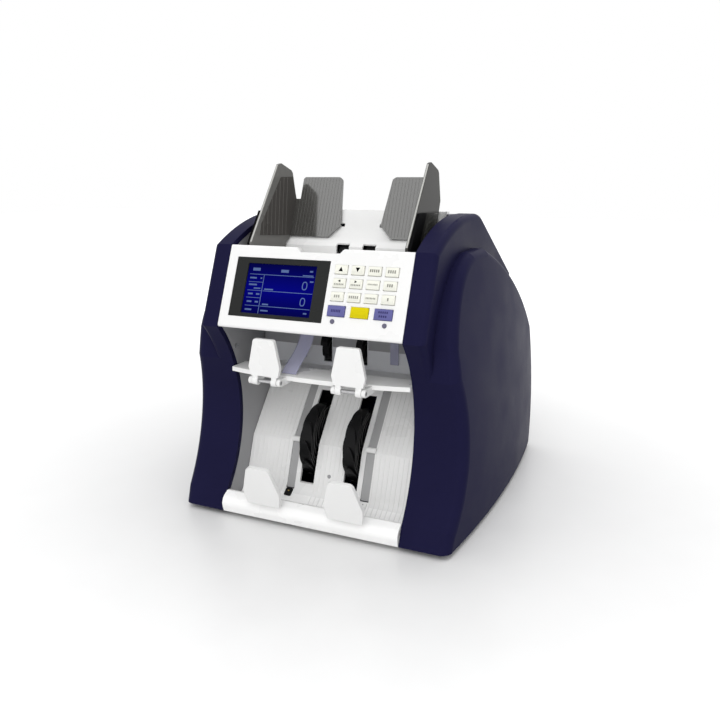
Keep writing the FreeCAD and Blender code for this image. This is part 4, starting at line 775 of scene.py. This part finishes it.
# guide mirror patch: a thin dark patch on the inner face, with upright ribs that lean as y = y0 + lean (z -
# z0); patch and ribs are a painted reflection of the ribbed back plate
def guideMirrorPatch(side):
    y, z = np.array(mirrorPatch["y"]), np.array(mirrorPatch["z"])
    face = mirrorPatch["face"] - mirrorPatch["proud"]
    depth = np.array([mirrorPatch["face"] + mirrorPatch["sunk"], face])
    piece(side + "_guide_painted_reflection", metres(sideSign[side] * depth[:, None], y[None], z[None]),
          tubeFaces(1, 2, len(y)), side + "_guide", "painted_reflection")
    start = np.arange(mirrorPatchRib["first"], mirrorPatchRib["last"], mirrorPatchRib["pitch"])
    lean, edge = mirrorPatchRib["lean"], mirrorPatchRib["edge"]
    low = np.interp(start, y[mirrorPatch["foot"]], z[mirrorPatch["foot"]]) + edge
    high = np.interp(start + lean * mirrorPatchRib["tall"], y[mirrorPatch["head"]], z[mirrorPatch["head"]]) - edge
    up = low[:, None] + (high - low)[:, None] * upDown
    along = start[:, None] + lean * (up - low[:, None])
    offset, rise = ribRing(mirrorPatchRib["width"], mirrorPatchRib["height"], mirrorPatchRib["sides"])
    points = metres(sideSign[side] * (face - rise), along[:, :, None] + offset, up[:, :, None])
    piece(side + "_painted_reflection_ribs", points, tubeFaces(len(start), 2, len(offset)), side + "_guide", "painted_reflection_rib")


for side in sideSign:
    plateRibs(side)
    guideEdge(side)
    guideMirrorPatch(side)
print("plate ribs, guide edges and painted_reflections done")

# marks on the display: ruled lines, plain bars for the fields and two noughts
display = {"left": -81.7, "low": 18.4, "width": 83.4, "height": 55.4, "face": -2.2, "lift": 0.05}
nought = {"spots": ((0.855, 0.385), (0.86, 0.70)), "halfWide": 3.1, "halfTall": 4.6, "stroke": 1.0,
          "power": 0.8, "steps": 40}


# places on the display are shares of its width and of its height from the top
def onDisplay(u, v):
    return display["left"] + u * display["width"], display["low"] + display["height"] * (1 - v)


def displayInk(spec):
    material, tree, shader = newMaterial("display_ink_finish")
    grain = placeGroup(tree, grainTree, {"Spread": spec["spread"]})
    colour = multiply(tree, spec["colour"], grain.outputs["Tone"])
    for label in ("Base Color", "Emission Color"):
        tree.links.new(colour, shader.inputs[label])
    shader.inputs["Emission Strength"].default_value = spec["glow"]
    return material


materials["display_ink"] = displayInk({"colour": (0.042, 0.078, 0.20), "spread": 0.15, "glow": 0.25})

ruled = [(0.50, 0.21, 0.47, 0.006), (0.245, 0.60, 0.0045, 0.39), (0.62, 0.535, 0.36, 0.006),
         (0.62, 0.84, 0.36, 0.006), (0.135, 0.365, 0.105, 0.005), (0.135, 0.535, 0.105, 0.005),
         (0.135, 0.68, 0.105, 0.005), (0.135, 0.84, 0.105, 0.005)]
fields = [(0.12, 0.11, 0.055, 0.030), (0.54, 0.12, 0.055, 0.028), (0.92, 0.10, 0.022, 0.016),
          (0.88, 0.185, 0.075, 0.010), (0.09, 0.285, 0.05, 0.016), (0.21, 0.285, 0.012, 0.014),
          (0.10, 0.42, 0.06, 0.016), (0.17, 0.49, 0.05, 0.013), (0.085, 0.605, 0.035, 0.016),
          (0.195, 0.605, 0.025, 0.016), (0.085, 0.76, 0.035, 0.016), (0.195, 0.76, 0.025, 0.016),
          (0.09, 0.92, 0.05, 0.016), (0.345, 0.50, 0.065, 0.014), (0.33, 0.80, 0.045, 0.014),
          (0.33, 0.925, 0.055, 0.014), (0.945, 0.30, 0.025, 0.014), (0.92, 0.92, 0.025, 0.014)]
barTable = np.array(ruled + fields)
barTable[:, 0], barTable[:, 1] = onDisplay(barTable[:, 0], barTable[:, 1])
barTable[:, 2:] *= (display["width"], display["height"])
piece("display_lines", barPoints(barTable, panelPlane, display["face"], display["lift"]),
      barFaces(len(barTable)), "machine", "display_ink")


# nought: a flat ring between two superellipses, u = a |cos|^n, v = b |sin|^n
def noughtPoints(u, v):
    angle, top = turns(nought["steps"])[:, None], display["face"] + display["lift"]
    inset = np.array([0.0, 0.0, nought["stroke"], nought["stroke"]])[None]
    out = np.array([display["face"], top, top, display["face"]])[None]
    across, up = (np.sign(way) * np.abs(way) ** nought["power"] for way in (np.cos(angle), np.sin(angle)))
    x, s = onDisplay(u, v)
    points = onSlope(panelPlane, x + (nought["halfWide"] - inset) * across,
                     s + (nought["halfTall"] - inset) * up, out)
    return points.reshape(-1, 3)


noughts = np.array([noughtPoints(u, v) for u, v in nought["spots"]])
ring = gridFaces(nought["steps"], 4, True, True)
piece("display_noughts", noughts, np.concatenate([ring, ring + noughts.shape[1]]), "machine", "display_ink")
print("display marks:", len(barTable) + len(noughts))

# key marks: arrows and plain bars, each on its own key
keys = {"rows": 3, "columns": 4, "firstX": 23.2, "firstS": 67.0, "pitchX": 18.75, "pitchS": 14.35,
        "wide": 14.2, "tall": 9.6, "face": 1.8, "lift": 0.05, "bigX": 21.9, "bigS": 22.3,
        "bigPitch": 26.0, "bigWide": 19.6, "bigTall": 11.2}
arrowShapes = {"up": ((-1, -1), (1, -1), (0, 1)), "down": ((-1, 1), (0, -1), (1, 1)),
               "back": ((1, -1), (1, 1), (-1, 0)), "next": ((-1, -1), (1, 0), (-1, 1))}
dash = {"pitch": 2.3, "span": 11.0, "share": 0.33}
ink = {"spread": 0.2, "roughness": 0.55, "specular": 0.1}


def inkFinish(name, colour):
    material, tree, shader = newMaterial(name)
    grain = placeGroup(tree, grainTree, {"Spread": ink["spread"], "Roughness": ink["roughness"]})
    tree.links.new(multiply(tree, colour, grain.outputs["Tone"]), shader.inputs["Base Color"])
    tree.links.new(grain.outputs["Roughness"], shader.inputs["Roughness"])
    shader.inputs["Specular IOR Level"].default_value = ink["specular"]
    return material


materials["black_ink"] = inkFinish("black_ink_finish", (0.006, 0.006, 0.006))
materials["grey_ink"] = inkFinish("grey_ink_finish", (0.27, 0.27, 0.24))
materials["deep_ink"] = inkFinish("deep_ink_finish", (0.035, 0.032, 0.12))


# arrow: a triangle with a thin wall, its top and bottom closed
def arrowMark(body, shape, u, v, half):
    flat = np.array(arrowShapes[shape], float) * half + (u, v)
    out = keys["face"] + np.array([[0.0], [keys["lift"]]])
    faces = [(0, 2, 1), (3, 4, 5), (0, 1, 4, 3), (1, 2, 5, 4), (2, 0, 3, 5)]
    piece(body + "_arrow", onSlope(panelPlane, flat[:, 0], flat[:, 1], out), faces, body, "black_ink")


def barMark(body, table, inkName):
    piece(body + "_bar", barPoints(table, panelPlane, keys["face"], keys["lift"]), barFaces(len(table)), body,
          inkName)


# a row of short upright bars, centred on u and v
def dashes(u, v, count, tall):
    pitch = min(dash["pitch"], dash["span"] / count)
    column = u + (np.arange(count) - (count - 1) / 2) * pitch
    return np.stack(np.broadcast_arrays(column, v, dash["share"] * pitch, tall), 1)


# per key: arrow shape, its rise and half size; rise, number and half height of its dashes
arrowKeys = {(0, 0): ("up", 0.3, 2.4), (0, 1): ("down", 0.3, 2.4), (1, 0): ("back", 2.0, 1.4),
             (1, 1): ("next", 2.0, 1.4)}
dashKeys = {(0, 2): (0.2, 5, 1.5), (0, 3): (0.2, 4, 1.7), (1, 0): (-1.5, 6, 0.8), (1, 1): (-1.5, 6, 0.8),
            (1, 2): (0.2, 8, 0.8), (1, 3): (0.2, 3, 1.6), (2, 0): (0.2, 3, 1.4), (2, 1): (0.2, 5, 1.4),
            (2, 2): (0.2, 7, 0.9), (2, 3): (0.2, 1, 1.6)}
bigDashes = {"left_function_key": ((0.0, 6, 1.4),), "clear_key": (),
             "right_function_key": ((2.1, 5, 1.1), (-2.1, 4, 1.1))}
for row, column in np.ndindex(keys["rows"], keys["columns"]):
    body = "key_row%d_column%d" % (row + 1, column + 1)
    u = keys["firstX"] + column * keys["pitchX"] + keys["wide"] / 2
    v = keys["firstS"] - row * keys["pitchS"] + keys["tall"] / 2
    if (row, column) in arrowKeys:
        shape, up, half = arrowKeys[row, column]
        arrowMark(body, shape, u, v + up, half)
    if (row, column) in dashKeys:
        up, count, tall = dashKeys[row, column]
        barMark(body, dashes(u, v + up, count, tall), "grey_ink")
for column, (body, rows) in enumerate(bigDashes.items()):
    u = keys["bigX"] + column * keys["bigPitch"] + keys["bigWide"] / 2
    v = keys["bigS"] + keys["bigTall"] / 2
    if rows:
        table = [dashes(u, v + up, count, tall) for up, count, tall in rows]
        barMark(body, np.concatenate(table), "deep_ink")
print("key marks done")

# film: a thin strip hanging in a smooth sag from the panel's underside to the shelf
film = {"left": -41.0, "right": -23.0, "y": (74.0, 71.5, 64.0, 51.0, 38.0, 26.0), "degree": 4, "cup": 0.8,
        "z": (215.9, 203.0, 191.0, 182.0, 174.0, 165.5), "thick": 0.35, "rows": 33, "columns": 9}


# y and z are polynomials along the strip fitted to its knots; its middle cups forward by a cosine
def filmPoints():
    knots = np.linspace(0.0, 1.0, len(film["y"]))
    fit = np.polyfit(knots, np.array([film["y"], film["z"]]).T, film["degree"])
    run = np.linspace(0.0, 1.0, film["rows"])[:, None]
    across = np.linspace(-1.0, 1.0, film["columns"])[None]
    y = np.polyval(fit[:, 0], run) - film["cup"] * np.cos(across * math.pi / 2) * np.sin(run * math.pi)
    middle, half = (film["left"] + film["right"]) / 2, (film["right"] - film["left"]) / 2
    return metres(middle + half * across, y, np.polyval(fit[:, 1], run))


filmPiece = piece("reject_strip", filmPoints(), gridFaces(film["rows"], film["columns"]), "machine",
                  "soft_film")
skin = filmPiece.modifiers.new("thickness", "SOLIDIFY")
skin.thickness = film["thick"] / 1000.0
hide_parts("reject_film")
print("film done")

softEdges = {
    "control_panel": ("machine", 0.9), "reject_shelf": ("machine", 0.8), "front_lip": ("machine", 0.8),
    "display_bezel": ("machine", 0.6), "left_upper_stopper": ("left_upper_flap", 1.4),
    "right_upper_stopper": ("right_upper_flap", 1.4), "left_lower_stopper": ("left_lower_flap", 1.6),
    "right_lower_stopper": ("right_lower_flap", 1.6), "left_side_guide": ("left_guide", 0.35),
    "right_side_guide": ("right_guide", 0.35), "hopper_tray": ("machine", 0.5)}
keyEdge = {"width": 1.0, "segments": 4}
for node, (body, width) in softEdges.items():
    softened(node, body, width)
keyNames = [name for name in frame["nodes"] if name.startswith("key_row") or name.endswith("_key")]
for body in keyNames:
    softened(body, body, keyEdge["width"], keyEdge["segments"])
print("softened solids:", len(softEdges) + len(keyNames))

# studio: pale floor, soft lamps, camera at the photograph's angle
floorSpec = {"half": 6.0, "colour": (0.80, 0.80, 0.80), "near": 0.25, "far": 1.3, "glow": 0.55,
             "grain": {"Scale": 40.0, "Spread": 0.01, "Roughness": 0.35}}
backdrop = {"light": 0.72, "seen": 1.0}


# 1 for the rays that show the backdrop: from the camera, off a gloss or through a pane
def seenRay(tree):
    rays = tree.nodes.new("ShaderNodeLightPath")
    mirrored = maths(tree, "MAXIMUM", rays.outputs["Is Glossy Ray"], rays.outputs["Is Transmission Ray"])
    return maths(tree, "MAXIMUM", rays.outputs["Is Camera Ray"], mirrored)


# floor: plain and pale round the part, fading to the white of the backdrop
def floorFinish(spec):
    material, tree, shader = newMaterial("floor_finish")
    grain = placeGroup(tree, grainTree, spec["grain"])
    tree.links.new(multiply(tree, spec["colour"], grain.outputs["Tone"]), shader.inputs["Base Color"])
    tree.links.new(grain.outputs["Roughness"], shader.inputs["Roughness"])
    reach = tree.nodes.new("ShaderNodeVectorMath")
    reach.operation = "LENGTH"
    tree.links.new(objectCoords(tree), reach.inputs[0])
    fade = mapRange(tree, reach.outputs["Value"], spec["near"], spec["far"], 0.0, spec["glow"])
    tree.links.new(maths(tree, "MULTIPLY", fade, seenRay(tree)), shader.inputs["Emission Strength"])
    shader.inputs["Emission Color"].default_value = (1.0, 1.0, 1.0, 1.0)
    return material


floorMesh = bpy.data.meshes.new("floor")
half = floorSpec["half"]
corners = [(-half, -half, 0), (half, -half, 0), (half, half, 0), (-half, half, 0)]
floorMesh.from_pydata(corners, [], [(0, 1, 2, 3)])
floorMesh.materials.append(floorFinish(floorSpec))
floor = bpy.data.objects.new("floor", floorMesh)
bpy.context.scene.collection.objects.link(floor)

world = bpy.data.worlds.new("studio")
world.use_nodes = True
bpy.context.scene.world = world
sky = world.node_tree.nodes["Background"]
strength = mapRange(world.node_tree, seenRay(world.node_tree), 0.0, 1.0, backdrop["light"], backdrop["seen"])
world.node_tree.links.new(strength, sky.inputs["Strength"])
sky.inputs["Color"].default_value = (1.0, 1.0, 1.0, 1.0)

# each lamp is turned from looking down to looking at its aim, and doesn't show in the glossy faces
lamps = {
    "key": {"at": (0.22, -1.5, 1.95), "aim": (0.0, -0.1, 0.12), "size": 1.1, "watts": 12.5},
    "fill": {"at": (1.6, -0.8, 1.1), "aim": (0.05, 0.0, 0.2), "size": 1.4, "watts": 1.5},
    "front": {"at": (0.35, -2.2, 0.85), "aim": (0.0, -0.05, 0.15), "size": 1.4, "watts": 10.0},
    "top": {"at": (0.1, 0.5, 2.0), "aim": (0.0, 0.0, 0.2), "size": 1.6, "watts": 12.0},
}
for name, spec in lamps.items():
    light = bpy.data.lights.new(name + "_lamp", "AREA")
    light.size = spec["size"]
    light.energy = spec["watts"]
    lamp = bpy.data.objects.new(name + "_lamp", light)
    lamp.location = spec["at"]
    x, y, z = np.array(spec["aim"]) - np.array(spec["at"])
    lamp.rotation_euler = (math.atan2(math.hypot(x, y), -z), 0.0, math.atan2(y, x) - math.pi / 2)
    lamp.visible_glossy = False
    bpy.context.scene.collection.objects.link(lamp)

cameraSpec = {"at": (0.34947, -0.82898, 0.38257), "turn": (76.651, 0.0, 23.674), "lens": 36.5, "sensor": 36.0,
              "shiftY": -11.0 / 720}
cameraData = bpy.data.cameras.new("camera")
cameraData.sensor_width = cameraSpec["sensor"]
cameraData.lens = cameraSpec["lens"]
cameraData.shift_y = cameraSpec["shiftY"]
camera = bpy.data.objects.new("camera", cameraData)
camera.location = cameraSpec["at"]
camera.rotation_euler = tuple(math.radians(angle) for angle in cameraSpec["turn"])
bpy.context.scene.collection.objects.link(camera)
bpy.context.scene.camera = camera
bpy.context.scene.view_settings.view_transform = "Standard"
print("stage set")
